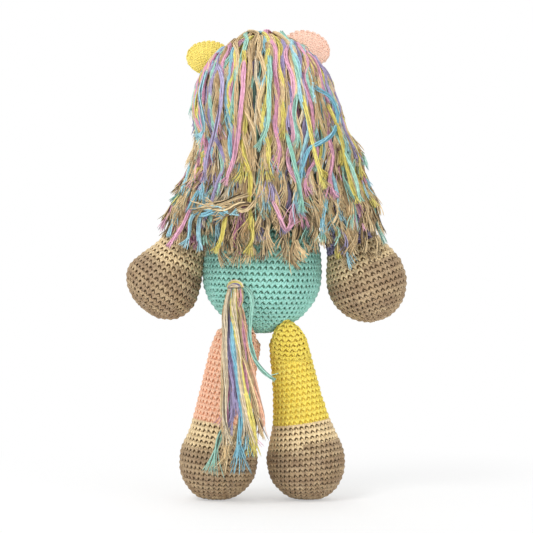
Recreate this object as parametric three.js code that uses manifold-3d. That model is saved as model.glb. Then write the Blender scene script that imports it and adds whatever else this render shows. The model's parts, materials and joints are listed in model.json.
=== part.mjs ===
// A crocheted plush horse that stands upright: a stuffed torso, head and four limbs, a yarn mane and a yarn tail.
// Millimetres, +Z up. The horse faces -Y and its left side is +X.
// The origin is on the floor, below the middle of the horse's box.

import * as THREE from "three";
import { mergeVertices } from "three/addons/utils/BufferGeometryUtils.js";
import Module from "manifold-3d";

const wasm = await Module();
wasm.setup();

// Fabric, sewing yarn and fits
const gap = 0.3;
const wall = 3.2;
const seamYarn = 1.2;
const overrun = 10;

// Torso: an egg with a round neck dome on top
const torsoBottom = 120;
const torsoHeight = 108;
const torsoRadius = 42.3;
const neckRadius = 14;
const neckOpening = 5;
const neckSeamAngle = 48;
const torsoShares = [
  [0, 0], [0.01, 0.17], [0.03, 0.32], [0.065, 0.49], [0.11, 0.655], [0.175, 0.81], [0.24, 0.915],
  [0.315, 0.985], [0.4, 1], [0.52, 0.985], [0.65, 0.92], [0.78, 0.8], [0.885, 0.645], [0.955, 0.5],
  [0.995, 0.39],
];

// Head: a ball on the neck dome, with a muzzle, two ears and two eyes
const headRadius = 46;
const headSink = 6;
const headRise = headRadius + neckRadius - headSink;
const headOpening = 6;
const muzzleRadius = 24;
const muzzleTallShare = 0.82;
const muzzleReach = 20;
const muzzleDroopAngle = 16;
const muzzleShares = [
  [0, 0], [0.03, 0.3], [0.1, 0.55], [0.22, 0.78], [0.4, 0.94], [0.6, 1], [0.8, 1.02], [1, 1.02],
];
const stitchAngles = [-90, -50, -20, 20, 50, 90];
const nostril = { long: 3.2, tall: 1.5, thick: 1.1, backShare: 0.16, turnAngle: 38 };
const eyeAngles = [80, 60, 40, 20, 0];
const eye = { radius: 5.5, tall: 3.4, shank: 1.6, shankLength: 8, turnAngle: 30, riseAngle: 13 };
const washer = { radius: 6, thick: 1.5 };
const ear = { radius: 12, thickShare: 0.26, forward: 9 };
const earShares = [
  [-0.12, 0], [-0.06, 0.5], [0.08, 0.74], [0.28, 0.95], [0.48, 1], [0.68, 0.93], [0.85, 0.7], [0.95, 0.4],
  [1, 0],
];
const earLeftShares = [[0.59, 0.76], [0.92, 0.94], [1.22, 0.78]];
const earRightShares = [[-0.43, 0.87], [-0.76, 1.2], [-1.05, 0.79]];

// Limbs: a ball at the joint, then a sleeve or a leg that swells into a hoof
const arm = { ball: 9.5, radius: 26.4, shoulderHeight: 224, leave: 11, hoofLength: 52, seamAngle: 36 };
const armLeft = { out: 83.5, tip: 137.5, tiltAngle: 31.5 };
const armRight = { out: 83.5, tip: 131, tiltAngle: 19 };
const armBendShare = 0.58;
const armShares = [
  [0, 0], [0.012, 0.4], [0.04, 0.66], [0.09, 0.86], [0.155, 0.97], [0.21, 1], [0.28, 0.97], [0.345, 0.87],
  [0.41, 0.74], [0.48, 0.62], [0.56, 0.53], [0.7, 0.46], [0.85, 0.4],
];
const leg = { ball: 13.5, radius: 27.6, hip: 20, stance: 32.6, hoofLength: 56, seamAngle: 50, soleCut: 0.5 };
const legBendShare = 0.3;
const legShares = [
  [0, 0], [0.0018, 0.36], [0.0046, 0.52], [0.014, 0.575], [0.038, 0.66], [0.07, 0.765], [0.11, 0.87],
  [0.17, 0.965], [0.24, 1], [0.31, 0.985], [0.37, 0.91], [0.43, 0.82], [0.52, 0.74], [0.66, 0.64], [0.84, 0.56],
];

// Mane: a crest on the crown, locks that fall over the head, and a forelock
const maneThick = 5.4;
const maneFall = 104;
const maneFlareLeft = 33;
const maneFlareRight = 46;
const maneLean = 4;
const maneClear = 0.9;
const maneGap = 1.3;
const crestRadius = 9.4;
const crestHeight = 11.7;
const crestShares = [[1, 0], [0.92, 0.5], [0.6, 0.9], [0.2, 1]];
const crownAngles = [78, 71, 60, 46, 29, 10, -8];
const fallShares = [[0.13, 0.1, 0], [0.27, 0.24, 0.1], [0.42, 0.46, 0.3], [0.57, 0.68, 0.6],
  [0.71, 0.86, 0.85], [0.85, 0.96, 1], [1, 1, 1]];
const maneSpreadAngle = 84;
const maneTuckAngle = 58;
const gatherShare = 0.45;
const maneColours = ["tan", "mint", "aqua", "tan", "cream", "lilac", "tan", "yellow", "pink", "tan", "aqua",
  "tan", "cream"];
const maneEndShares = [0.84, 0.82, 0.88, 0.97, 0.9, 1, 0.94, 0.99, 0.9, 0.96, 0.9, 0.87, 0.84];
const forelockSpreadAngle = 36;
const forelockColours = ["tan", "cream", "tan", "pink", "aqua"];
const forelockEndAngles = [42, 33, 27, 30, 40];

// Tail: a knot at the back with locks that hang from it
const tailHeight = 154.5;
const tailSide = 21.7;
const knotAngles = [-90, -60, -30, 0, 30, 60, 90];
const tailKnot = { wide: 8, round: 4.6 };
const tailLock = { deep: 2.9, fan: 5.4, top: 2.4, length: 122 };
const tailColours = ["tan", "lilac", "aqua", "yellow", "pink", "mint"];
const tailEndShares = [0.93, 0.98, 1, 0.97, 0.94, 0.99];
const tailRings = [[0.03, 0.8], [0.12, 1], [0.3, 1], [0.5, 1], [0.7, 1], [0.88, 0.95], [0.97, 0.7]];
const tailDriftShare = 0.075;

// Yarn colours
const yarns = {
  mint: 0x9bd3c0, tan: 0xb79e80, lightTan: 0xcdb998, aqua: 0x9ccfd8, pink: 0xe9b3b6, lilac: 0xb7a5cf,
  yellow: 0xecd96f, peach: 0xf1c4a9, cream: 0xeee0c4, white: 0xf4f2ee, black: 0x16130f, brown: 0x6d5140,
};
const yarnRoughness = 0.92;
const eyeRoughness = 0.12;

const roundSides = 24;
const headSteps = 12;
const rimSteps = 3;
const limbSides = 16;
const smallSides = 12;
const nostrilSides = 8;
const seamSteps = 4;
const halvings = 40;
const up = new THREE.Vector3(0, 0, 1);
const degrees = THREE.MathUtils.degToRad;

// A closed surface from rings of points, with a single point at each end
function loft(firstTip, rings, lastTip) {
  const sides = rings[0].length;
  const points = [firstTip, ...rings.flat(), lastTip];
  const last = points.length - 1;
  const triangles = [];
  for (let side = 0; side < sides; side++) {
    const next = (side + 1) % sides;
    triangles.push([0, 1 + next, 1 + side]);
    for (let ring = 0; ring < rings.length - 1; ring++) {
      const here = 1 + ring * sides;
      const there = here + sides;
      triangles.push([here + side, here + next, there + next], [here + side, there + next, there + side]);
    }
    const end = 1 + (rings.length - 1) * sides;
    triangles.push([last, end + side, end + next]);
  }
  const volume = triangles.reduce((sum, [a, b, c]) => {
    const across = new THREE.Vector3().crossVectors(points[b], points[c]);
    return sum + points[a].dot(across);
  }, 0);
  const order = volume > 0 ? triangles : triangles.map(([a, b, c]) => [a, c, b]);
  const shape = new THREE.BufferGeometry();
  shape.setAttribute("position", new THREE.Float32BufferAttribute(points.flatMap((p) => p.toArray()), 3));
  shape.setIndex(order.flat());
  shape.computeVertexNormals();
  return shape;
}

// A profile of [distance along, radius] turned around a spine, from one point on it to another.
// The section is an oval: wide across the spine's own cross direction, deep square to it.
function turned(spine, profile, sides, wide = 1, deep = 1) {
  const ring = ([distance, radius]) => {
    const centre = spine.at(distance);
    const second = new THREE.Vector3().crossVectors(spine.along(distance), spine.across);
    return Array.from({ length: sides }, (_, side) => {
      const angle = (2 * Math.PI * side) / sides;
      return centre.clone()
        .addScaledVector(spine.across, radius * wide * Math.cos(angle))
        .addScaledVector(second, radius * deep * Math.sin(angle));
    });
  };
  const inner = profile.slice(1, -1).map(ring);
  return loft(spine.at(profile[0][0]), inner, spine.at(profile.at(-1)[0]));
}

function straightSpine(start, direction, across) {
  const along = direction.clone().normalize();
  return {
    at: (distance) => start.clone().addScaledVector(along, distance),
    along: () => along,
    across,
  };
}

// A curve as a spine, which runs straight on past both ends
function curvedSpine(curve, across) {
  const length = curve.getLength();
  const share = (distance) => THREE.MathUtils.clamp(distance / length, 0, 1);
  return {
    length,
    at: (distance) => curve.getPointAt(share(distance))
      .addScaledVector(curve.getTangentAt(share(distance)), distance - share(distance) * length),
    along: (distance) => curve.getTangentAt(share(distance)),
    across,
  };
}

// The part of a profile between two distances, with both ends worked out
function profileBetween(profile, from, to) {
  const inside = profile.filter(([distance]) => distance > from && distance < to);
  return [[from, radiusAt(profile, from)], ...inside, [to, radiusAt(profile, to)]];
}

function radiusAt(profile, distance) {
  const next = profile.findIndex(([there]) => there >= distance);
  if (next <= 0) return profile[Math.max(next, 0)][1];
  const [[before, radiusBefore], [after, radiusAfter]] = [profile[next - 1], profile[next]];
  return THREE.MathUtils.mapLinear(distance, before, after, radiusBefore, radiusAfter);
}

const backwards = (profile) => profile.map(([distance, radius]) => [-distance, radius]).reverse();

// The points of a profile moved inwards by a depth, square to it; those that pass the axis are left out.
// The profile starts on the axis.
function movedIn(profile, depth, step = 1) {
  const moved = [];
  for (let i = step; i < profile.length; i += step) {
    const before = profile[i - 1];
    const after = profile[Math.min(i + 1, profile.length - 1)];
    const along = after[0] - before[0];
    const out = after[1] - before[1];
    const size = Math.hypot(along, out);
    const [distance, radius] = profile[i];
    const point = [distance + (depth * out) / size, radius - (depth * along) / size];
    if (point[1] > depth / 2) moved.push(point);
  }
  return moved;
}

// A fabric skin, open at the end of its profile: out along the profile, back along its inside
function skinProfile(profile, depth, step = 2) {
  const inside = movedIn(profile, depth, step).reverse();
  return [...profile, ...inside, [profile[0][0] + depth, 0]];
}

// The filling of a closed profile, a depth inside it
function fillingProfile(profile, depth, step = 2) {
  const ends = [profile[0][0] + depth, profile.at(-1)[0] - depth];
  const inside = movedIn(profile.slice(0, -1), depth, step).filter(([at]) => at > ends[0] && at < ends[1]);
  return [[ends[0], 0], ...inside, [ends[1], 0]];
}

function toSolid(shape) {
  const plain = shape.clone();
  plain.deleteAttribute("normal");
  plain.deleteAttribute("uv");
  const merged = mergeVertices(plain);
  return new wasm.Manifold(new wasm.Mesh({
    numProp: 3,
    vertProperties: Float32Array.from(merged.getAttribute("position").array),
    triVerts: Uint32Array.from(merged.getIndex().array),
  }));
}

function cut(shape, ...tools) {
  const rest = tools.reduce((solid, tool) => solid.subtract(toSolid(tool)), toSolid(shape));
  const { vertProperties, triVerts } = rest.getMesh();
  const result = new THREE.BufferGeometry();
  result.setAttribute("position", new THREE.BufferAttribute(vertProperties, 3));
  result.setIndex(new THREE.BufferAttribute(triVerts, 1));
  result.computeVertexNormals();
  return result;
}

// A plain round bar between two distances along a line
function bar(spine, from, to, radius) {
  return turned(spine, [[from, 0], [from, radius], [to, radius], [to, 0]], smallSides);
}

function material(colour, roughness = yarnRoughness) {
  return new THREE.MeshStandardMaterial({ color: yarns[colour], roughness, metalness: 0 });
}

function piece(name, shape, colour, roughness) {
  const mesh = new THREE.Mesh(shape, material(colour, roughness));
  mesh.name = name;
  return mesh;
}

// The torso's profile, counted from its bottom, with the neck dome over the table's last point
const domeAngles = [72, 54, 36];
const domePoint = (angle) => [
  torsoHeight + neckRadius * Math.cos(degrees(angle)), neckRadius * Math.sin(degrees(angle)),
];
const openingAngle = THREE.MathUtils.radToDeg(Math.asin(neckOpening / neckRadius));
const torsoSides = torsoShares.map(([along, out]) => [along * torsoHeight, out * torsoRadius]);
const torsoOutline = [...torsoSides, ...domeAngles.map(domePoint), domePoint(openingAngle)];
const torsoSpine = straightSpine(new THREE.Vector3(0, 0, torsoBottom), up, new THREE.Vector3(0, 1, 0));
const neckCentre = new THREE.Vector3(0, 0, torsoBottom + torsoHeight);

function makeTorso() {
  const closed = [...torsoOutline, domePoint(0)];
  return [
    piece("torso_shell", turned(torsoSpine, skinProfile(torsoOutline, wall), roundSides), "mint"),
    piece("torso_stuffing", turned(torsoSpine, fillingProfile(closed, wall + gap), roundSides), "white"),
  ];
}

// The nearest point of the torso's outline to a place beside or below it, in its own half plane
function nearestOnTorso(out, height) {
  let best = { distance: Infinity };
  for (let i = 1; i < torsoOutline.length; i++) {
    const [fromHeight, fromOut] = torsoOutline[i - 1];
    const [toHeight, toOut] = torsoOutline[i];
    const line = new THREE.Line3(
      new THREE.Vector3(fromOut, 0, torsoBottom + fromHeight), new THREE.Vector3(toOut, 0, torsoBottom + toHeight),
    );
    const place = new THREE.Vector3(out, 0, height);
    const nearest = line.closestPointToPoint(place, true, new THREE.Vector3());
    const distance = nearest.distanceTo(place);
    if (distance < best.distance) best = { distance, nearest };
  }
  return best;
}

// Moves a joint's centre away from the torso, in halving steps, until its ball and sewing yarn just fit
function jointCentre(start, direction, ballRadius) {
  const clearance = ballRadius + seamYarn + 2 * gap;
  let near = 0;
  let far = torsoRadius;
  for (let step = 0; step < halvings; step++) {
    const middle = (near + far) / 2;
    const place = start.clone().addScaledVector(direction, middle);
    if (nearestOnTorso(place.x, place.z).distance < clearance) near = middle;
    else far = middle;
  }
  return start.clone().addScaledVector(direction, far);
}

// Sewing yarn between two round pieces: a dish that is part of a ball around the joint's centre
function seamDish(ballRadius, direction, halfAngle, across) {
  const inside = ballRadius + gap;
  const outside = inside + seamYarn;
  const angles = Array.from({ length: seamSteps }, (_, step) => degrees((halfAngle * (step + 1)) / seamSteps));
  const arc = (radius) => angles.map((angle) => [radius * Math.cos(angle), radius * Math.sin(angle)]);
  const profile = [[outside, 0], ...arc(outside), ...arc(inside).reverse(), [inside, 0]];
  return turned(straightSpine(new THREE.Vector3(), direction, across), profile, smallSides);
}

// The head's ball, from its top down to the round hollow that sits over the neck dome
function headOutline(openingRadius) {
  const hollow = neckRadius + seamYarn + 2 * gap;
  const cosRim = (hollow ** 2 + headRise ** 2 - headRadius ** 2) / (2 * hollow * headRise);
  const rimAngle = Math.acos(cosRim);
  const rimTurn = Math.acos((headRise - hollow * cosRim) / headRadius);
  const crown = headRise + headRadius;
  const outside = Array.from({ length: headSteps + 1 }, (_, step) => {
    const angle = ((Math.PI - rimTurn) * step) / headSteps;
    return [headRadius * (1 - Math.cos(angle)), headRadius * Math.sin(angle)];
  });
  const endAngle = Math.asin(openingRadius / hollow);
  const inside = Array.from({ length: rimSteps }, (_, step) => {
    const angle = rimAngle + ((endAngle - rimAngle) * (step + 1)) / rimSteps;
    return [crown - hollow * Math.cos(angle), hollow * Math.sin(angle)];
  });
  return [...outside, ...inside];
}

const headCentre = new THREE.Vector3(0, 0, headRise);
const crownSpine = straightSpine(
  new THREE.Vector3(0, 0, headRise + headRadius), up.clone().negate(), new THREE.Vector3(0, 1, 0),
);

// The head's own faces grown by the gap, to cut what sits on the head
function headSpace() {
  const grown = (headRadius + gap) / headRadius;
  const outside = headOutline(headOpening).slice(0, headSteps + 1)
    .map(([along, out]) => [headRadius + (along - headRadius) * grown, out * grown]);
  return turned(crownSpine, [...outside, [outside.at(-1)[0], 0]], roundSides);
}

// A direction from the head's centre: turned from straight ahead towards the left, and raised
function outwards(turn, rise) {
  return new THREE.Vector3().setFromSphericalCoords(1, degrees(90 - rise), 0)
    .applyAxisAngle(new THREE.Vector3(1, 0, 0), degrees(90))
    .applyAxisAngle(up, degrees(turn));
}

function eyeSpine(turn) {
  return straightSpine(headCentre, outwards(turn, eye.riseAngle), up);
}

const eyeSeat = headRadius + gap;
const facetShare = Math.cos(Math.PI / roundSides) ** 2;
const washerSeat = Math.sqrt(((headRadius - wall) * facetShare) ** 2 - washer.radius ** 2) - gap;

function makeEye(side, turn) {
  const across = new THREE.Vector3().crossVectors(outwards(turn, eye.riseAngle), up).normalize();
  const spine = { ...eyeSpine(turn), across };
  const dome = eyeAngles.map((angle) => [
    eyeSeat + eye.tall * Math.sin(degrees(angle)), eye.radius * Math.cos(degrees(angle)),
  ]);
  const shankEnd = eyeSeat - eye.shankLength;
  const eyeProfile = [[eyeSeat + eye.tall, 0], ...dome, [eyeSeat, eye.shank], [shankEnd, eye.shank], [shankEnd, 0]];
  const hole = eye.shank + gap;
  const ring = turnedRing(spine, [
    [washerSeat, hole], [washerSeat - washer.thick, hole], [washerSeat - washer.thick, washer.radius],
    [washerSeat, washer.radius],
  ]);
  return {
    meshes: [
      piece(`eye_${side}`, turned(spine, eyeProfile, smallSides), "black", eyeRoughness),
      piece(`eye_washer_${side}`, ring, "white"),
    ],
    hole: bar(spine, eyeSeat - eye.shankLength, eyeSeat + overrun, hole),
    pocket: bar(spine, shankEnd - gap, eyeSeat, washer.radius + gap),
  };
}

// A profile that closes on itself, turned around a spine
function turnedRing(spine, profile) {
  const lathe = new THREE.LatheGeometry(
    [...profile, profile[0]].map(([distance, radius]) => new THREE.Vector2(radius, distance)), smallSides,
  );
  const turn = new THREE.Quaternion().setFromUnitVectors(new THREE.Vector3(0, 1, 0), spine.along(0));
  return lathe.applyQuaternion(turn).translate(...spine.at(0));
}

const muzzleDirection = outwards(0, -muzzleDroopAngle);
const muzzleDepth = muzzleReach + headRadius - Math.sqrt(headRadius ** 2 - muzzleRadius ** 2) + wall;
const muzzleSpine = straightSpine(
  headCentre.clone().addScaledVector(muzzleDirection, headRadius + muzzleReach),
  muzzleDirection.clone().negate(), new THREE.Vector3(1, 0, 0),
);
const muzzleOutline = muzzleShares.map(([along, out]) => [along * muzzleDepth, out * muzzleRadius]);

function makeMuzzle() {
  const skin = turned(muzzleSpine, skinProfile(muzzleOutline, wall), limbSides, 1, muzzleTallShare);
  const inside = movedIn(muzzleOutline, wall + gap, 2);
  const filling = [[wall + gap, 0], ...inside, [muzzleDepth, inside.at(-1)[1]], [muzzleDepth, 0]];
  return [
    piece("muzzle_shell", cut(skin, headSpace()), "lightTan"),
    piece("muzzle_stuffing", cut(turned(muzzleSpine, filling, limbSides, 1, muzzleTallShare), headSpace()), "white"),
  ];
}

// A short stitch that lies on the front of the muzzle
function makeNostril(side, turn) {
  const along = nostril.backShare * muzzleDepth;
  const onMuzzle = (distance, angle) => {
    const radius = radiusAt(muzzleOutline, distance);
    return muzzleSpine.at(distance)
      .add(new THREE.Vector3(radius * Math.sin(angle), 0, 0))
      .addScaledVector(
        new THREE.Vector3().crossVectors(muzzleSpine.across, muzzleSpine.along(0)),
        radius * muzzleTallShare * Math.cos(angle),
      );
  };
  const angle = degrees(turn);
  const centre = onMuzzle(along, angle);
  const sideways = onMuzzle(along, angle + degrees(1)).sub(centre);
  const backward = onMuzzle(along + gap, angle).sub(centre);
  const outward = new THREE.Vector3().crossVectors(sideways, backward).normalize();
  if (outward.dot(muzzleDirection) < 0) outward.negate();
  const long = sideways.normalize();
  const start = centre.addScaledVector(outward, nostril.thick + 2 * gap);
  const spine = straightSpine(start, long, outward);
  const profile = stitchAngles.map((step) => [
    nostril.long * Math.sin(degrees(step)), Math.max(Math.cos(degrees(step)), 0),
  ]);
  return piece(`nostril_${side}`, turned(spine, profile, nostrilSides, nostril.thick, nostril.tall), "brown");
}

function makeEar(side, shares, colour) {
  const points = shares.map(([out, rise]) => new THREE.Vector3(
    out * headRadius, -ear.forward, headRise + rise * headRadius,
  ));
  const spine = curvedSpine(new THREE.QuadraticBezierCurve3(...points), new THREE.Vector3(0, 1, 0));
  const profile = earShares.map(([along, out]) => [along * spine.length, out * ear.radius]);
  const oval = turned(spine, profile, smallSides, ear.thickShare, 1);
  return piece(`ear_${side}`, cut(oval, headSpace()), colour);
}

// The mane's outer bell, around the head's centre: over the crown, then down to the tips
const domeRadius = headRadius + gap + maneClear + maneThick;
const maneBack = torsoRadius + gap + maneClear + maneThick;
const bellStations = [
  ...crownAngles.map((angle) => ({
    rise: domeRadius * Math.sin(degrees(angle)),
    wide: domeRadius * Math.cos(degrees(angle)),
    deep: domeRadius * Math.cos(degrees(angle)),
    fall: 0,
    flare: 0,
  })),
  ...fallShares.map(([fall, flare, tuck]) => ({
    rise: -fall * maneFall,
    wide: domeRadius,
    deep: THREE.MathUtils.lerp(domeRadius, maneBack, tuck),
    fall,
    flare,
  })),
];

// A point of the bell: a station along the fall, which may lie between two, and a place around it from
// -1, at the right, to 1, at the left. The locks gather towards the back as they fall.
function onBell(station, around) {
  const low = Math.min(Math.floor(station), bellStations.length - 2);
  const mix = station - low;
  const value = (key) => THREE.MathUtils.lerp(bellStations[low][key], bellStations[low + 1][key], mix);
  const fall = value("fall");
  const gathered = THREE.MathUtils.smoothstep(fall, 0, gatherShare);
  const angle = degrees(around * THREE.MathUtils.lerp(maneSpreadAngle, maneTuckAngle, gathered));
  const wide = value("wide") + value("flare") * (around > 0 ? maneFlareLeft : maneFlareRight);
  return new THREE.Vector3(
    wide * Math.sin(angle) - fall * maneLean, value("deep") * Math.cos(angle), headRise + value("rise"),
  );
}

// A lock starts and ends in a point, and its last ring lies a little before its end and is narrower. All but
// the last are in stations of the bell.
const lockStart = 0.7;
const lockEndRing = 0.25;
const lockLeastStep = 0.4;
const lockEndNarrow = 0.85;
const tinyStep = 0.01;
const lockSectionShares = [[1, 0], [0.6, 1], [-0.6, 1], [-1, 0], [-0.6, -1], [0.6, -1]];

// One ring of a lock that lies inside a surface: half as wide as its neighbours are apart
function lockRing(surface, station, around, spacing, narrow) {
  const outer = surface(station, around);
  const sideways = surface(station, around + tinyStep).sub(surface(station, around - tinyStep));
  const width = (sideways.length() * spacing) / (2 * tinyStep) / 2 - maneGap / 2;
  sideways.normalize();
  const onwards = surface(station + tinyStep, around).sub(surface(station - tinyStep, around));
  const outward = new THREE.Vector3().crossVectors(sideways, onwards).normalize();
  if (outward.dot(outer.clone().sub(headCentre)) < 0) outward.negate();
  const centre = outer.addScaledVector(outward, -maneThick / 2);
  return lockSectionShares.map(([across, out]) => centre.clone()
    .addScaledVector(sideways, across * width * narrow)
    .addScaledVector(outward, (out * maneThick * narrow) / 2));
}

function lock(surface, around, spacing, lastStation) {
  const stations = [];
  for (let station = 1; station < lastStation - lockLeastStep; station++) stations.push(station);
  const rings = stations.map((station) => lockRing(surface, station, around, spacing, 1));
  rings.push(lockRing(surface, lastStation - lockEndRing, around, spacing, lockEndNarrow));
  const middle = (ring) => ring.reduce((sum, point) => sum.add(point), new THREE.Vector3())
    .divideScalar(ring.length);
  const start = middle(lockRing(surface, lockStart, around, spacing, 1));
  const end = middle(lockRing(surface, lastStation, around, spacing, 1));
  return loft(start, rings, end);
}

// The station where the bell has fallen by a share of its whole fall
function stationOfFall(share) {
  const first = crownAngles.length;
  const next = fallShares.findIndex(([fall]) => fall >= share);
  const [before, after] = [fallShares[next - 1][0], fallShares[next][0]];
  return first + next - 1 + (share - before) / (after - before);
}

function makeMane() {
  const crestSide = Math.sqrt(headRadius ** 2 - crestRadius ** 2) - headRadius;
  const dome = crestShares.map(([rise, out]) => [-rise * crestHeight, out * crestRadius]);
  const crest = [...dome, [-crestSide, crestRadius], [-crestSide, 0]];
  const crestShape = cut(turned(crownSpine, crest, smallSides), headSpace());
  const meshes = [piece("mane_crest", crestShape, "tan")];
  const halfCount = (maneColours.length - 1) / 2;
  maneColours.forEach((colour, index) => {
    const around = (halfCount - index) / halfCount;
    const shape = lock(onBell, around, 1 / halfCount, stationOfFall(maneEndShares[index]));
    meshes.push(piece(`mane_lock_${index + 1}`, shape, colour));
  });
  const halfFore = (forelockColours.length - 1) / 2;
  const onForehead = (station, around) => {
    const low = Math.min(Math.floor(station), crownAngles.length - 2);
    const rise = degrees(THREE.MathUtils.lerp(crownAngles[low], crownAngles[low + 1], station - low));
    const angle = degrees(around * forelockSpreadAngle);
    return headCentre.clone().add(new THREE.Vector3(
      domeRadius * Math.cos(rise) * Math.sin(angle), -domeRadius * Math.cos(rise) * Math.cos(angle),
      domeRadius * Math.sin(rise),
    ));
  };
  forelockColours.forEach((colour, index) => {
    const around = (halfFore - index) / halfFore;
    const endAngle = forelockEndAngles[index];
    const next = crownAngles.findIndex((angle) => angle <= endAngle);
    const end = next - 1 + (crownAngles[next - 1] - endAngle) / (crownAngles[next - 1] - crownAngles[next]);
    meshes.push(piece(`forelock_${index + 1}`, lock(onForehead, around, 1 / halfFore, end), colour));
  });
  return meshes;
}

function makeHead() {
  const left = makeEye("left", eye.turnAngle);
  const right = makeEye("right", -eye.turnAngle);
  const skin = turned(crownSpine, skinProfile(headOutline(headOpening), wall, 1), roundSides);
  const filling = turned(crownSpine, fillingProfile(headOutline(0), wall + gap, 1), roundSides);
  const head = new THREE.Group();
  head.name = "neck_pivot";
  head.position.copy(neckCentre);
  head.add(
    piece("neck_seam", seamDish(neckRadius, up, neckSeamAngle, new THREE.Vector3(0, 1, 0)), "mint"),
    piece("head_shell", cut(skin, left.hole, right.hole), "mint"),
    piece("head_stuffing", cut(filling, left.pocket, right.pocket), "white"),
    ...makeMuzzle(), ...left.meshes, ...right.meshes,
    makeNostril("left", nostril.turnAngle), makeNostril("right", -nostril.turnAngle),
    makeEar("left", earLeftShares, "yellow"), makeEar("right", earRightShares, "peach"),
    ...makeMane(),
  );
  return head;
}

const ballAngles = [0, 30, 60, 85];

// A limb on its joint's centre: sewing yarn, upper part, hoof and filling. Its profile is counted from the
// far end of the hoof, and its ball is at the start of the spine.
function makeLimb(names, spine, shares, sizes, towardsTorso, colours, floor) {
  const outline = shares.map(([along, out]) => [spine.length * (1 - along), out * sizes.radius]).reverse();
  const top = ballAngles.map((angle) => [
    -sizes.ball * Math.cos(degrees(angle)), sizes.ball * Math.sin(degrees(angle)),
  ]);
  const whole = [...top, ...outline];
  const change = spine.length - sizes.hoofLength;
  const upper = profileBetween(whole, top[0][0], change - gap / 2);
  const hoof = backwards(profileBetween(whole, change + gap / 2, spine.length));
  const hoofSkin = backwards(skinProfile(hoof, wall, 1));
  const filling = turned(spine, fillingProfile(whole, wall + gap, 1), limbSides);
  const hoofShape = turned(spine, hoofSkin, limbSides);
  const across = new THREE.Vector3(0, 1, 0);
  return [
    piece(names.seam, seamDish(sizes.ball, towardsTorso, sizes.seamAngle, across), colours.upper),
    piece(names.upper, turned(spine, skinProfile(upper, wall, 1), limbSides), colours.upper),
    piece(names.hoof, floor ? cut(hoofShape, floor) : hoofShape, "tan"),
    piece(names.stuffing, filling, "white"),
  ];
}

// side is 1 at the left and -1 at the right
function limbGroup(name, centre, side, make) {
  const { nearest } = nearestOnTorso(centre.x, centre.z);
  const towardsTorso = nearest.clone().sub(centre).normalize();
  towardsTorso.x *= side;
  const group = new THREE.Group();
  group.name = name;
  group.position.set(side * centre.x, 0, centre.z);
  group.add(...make(towardsTorso));
  return group;
}

const acrossBody = new THREE.Vector3(0, 1, 0);

function makeArm(side, sideName, place, colour) {
  const start = new THREE.Vector3(0, 0, arm.shoulderHeight);
  const centre = jointCentre(start, new THREE.Vector3(1, 0, 0), arm.ball);
  const tip = new THREE.Vector3(place.out, 0, place.tip).sub(centre);
  const tilt = degrees(place.tiltAngle);
  const hoofDirection = new THREE.Vector3(Math.sin(tilt), 0, -Math.cos(tilt));
  const bend = tip.clone().addScaledVector(hoofDirection, -armBendShare * tip.length());
  const points = [new THREE.Vector3(), new THREE.Vector3(arm.leave, 0, -gap), bend, tip];
  points.forEach((point) => { point.x *= side; });
  const spine = curvedSpine(new THREE.CubicBezierCurve3(...points), acrossBody);
  const names = {
    seam: `shoulder_seam_${sideName}`, upper: `arm_${sideName}_sleeve`, hoof: `arm_${sideName}_hoof`,
    stuffing: `arm_${sideName}_stuffing`,
  };
  return limbGroup(`shoulder_${sideName}_pivot`, centre, side, (towards) => (
    makeLimb(names, spine, armShares, arm, towards, { upper: colour }, null)
  ));
}

function makeLeg(side, sideName, colour) {
  const start = new THREE.Vector3(leg.hip, 0, torsoBottom);
  const centre = jointCentre(start, up.clone().negate(), leg.ball);
  const sole = new THREE.Vector3(leg.stance - centre.x, 0, -centre.z - leg.soleCut);
  const bend = new THREE.Vector3(sole.x, 0, sole.z * (1 - legBendShare));
  const points = [new THREE.Vector3(), bend, sole];
  points.forEach((point) => { point.x *= side; });
  const spine = curvedSpine(new THREE.QuadraticBezierCurve3(...points), acrossBody);
  const floorSize = 2 * (leg.radius + overrun);
  const floor = new THREE.BoxGeometry(floorSize, floorSize, overrun)
    .translate(sole.x, 0, -centre.z - overrun / 2);
  const names = {
    seam: `hip_seam_${sideName}`, upper: `leg_${sideName}_upper`, hoof: `leg_${sideName}_hoof`,
    stuffing: `leg_${sideName}_stuffing`,
  };
  return limbGroup(`hip_${sideName}_pivot`, centre, side, (towards) => (
    makeLimb(names, spine, legShares, leg, towards, { upper: colour }, floor)
  ));
}

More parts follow.
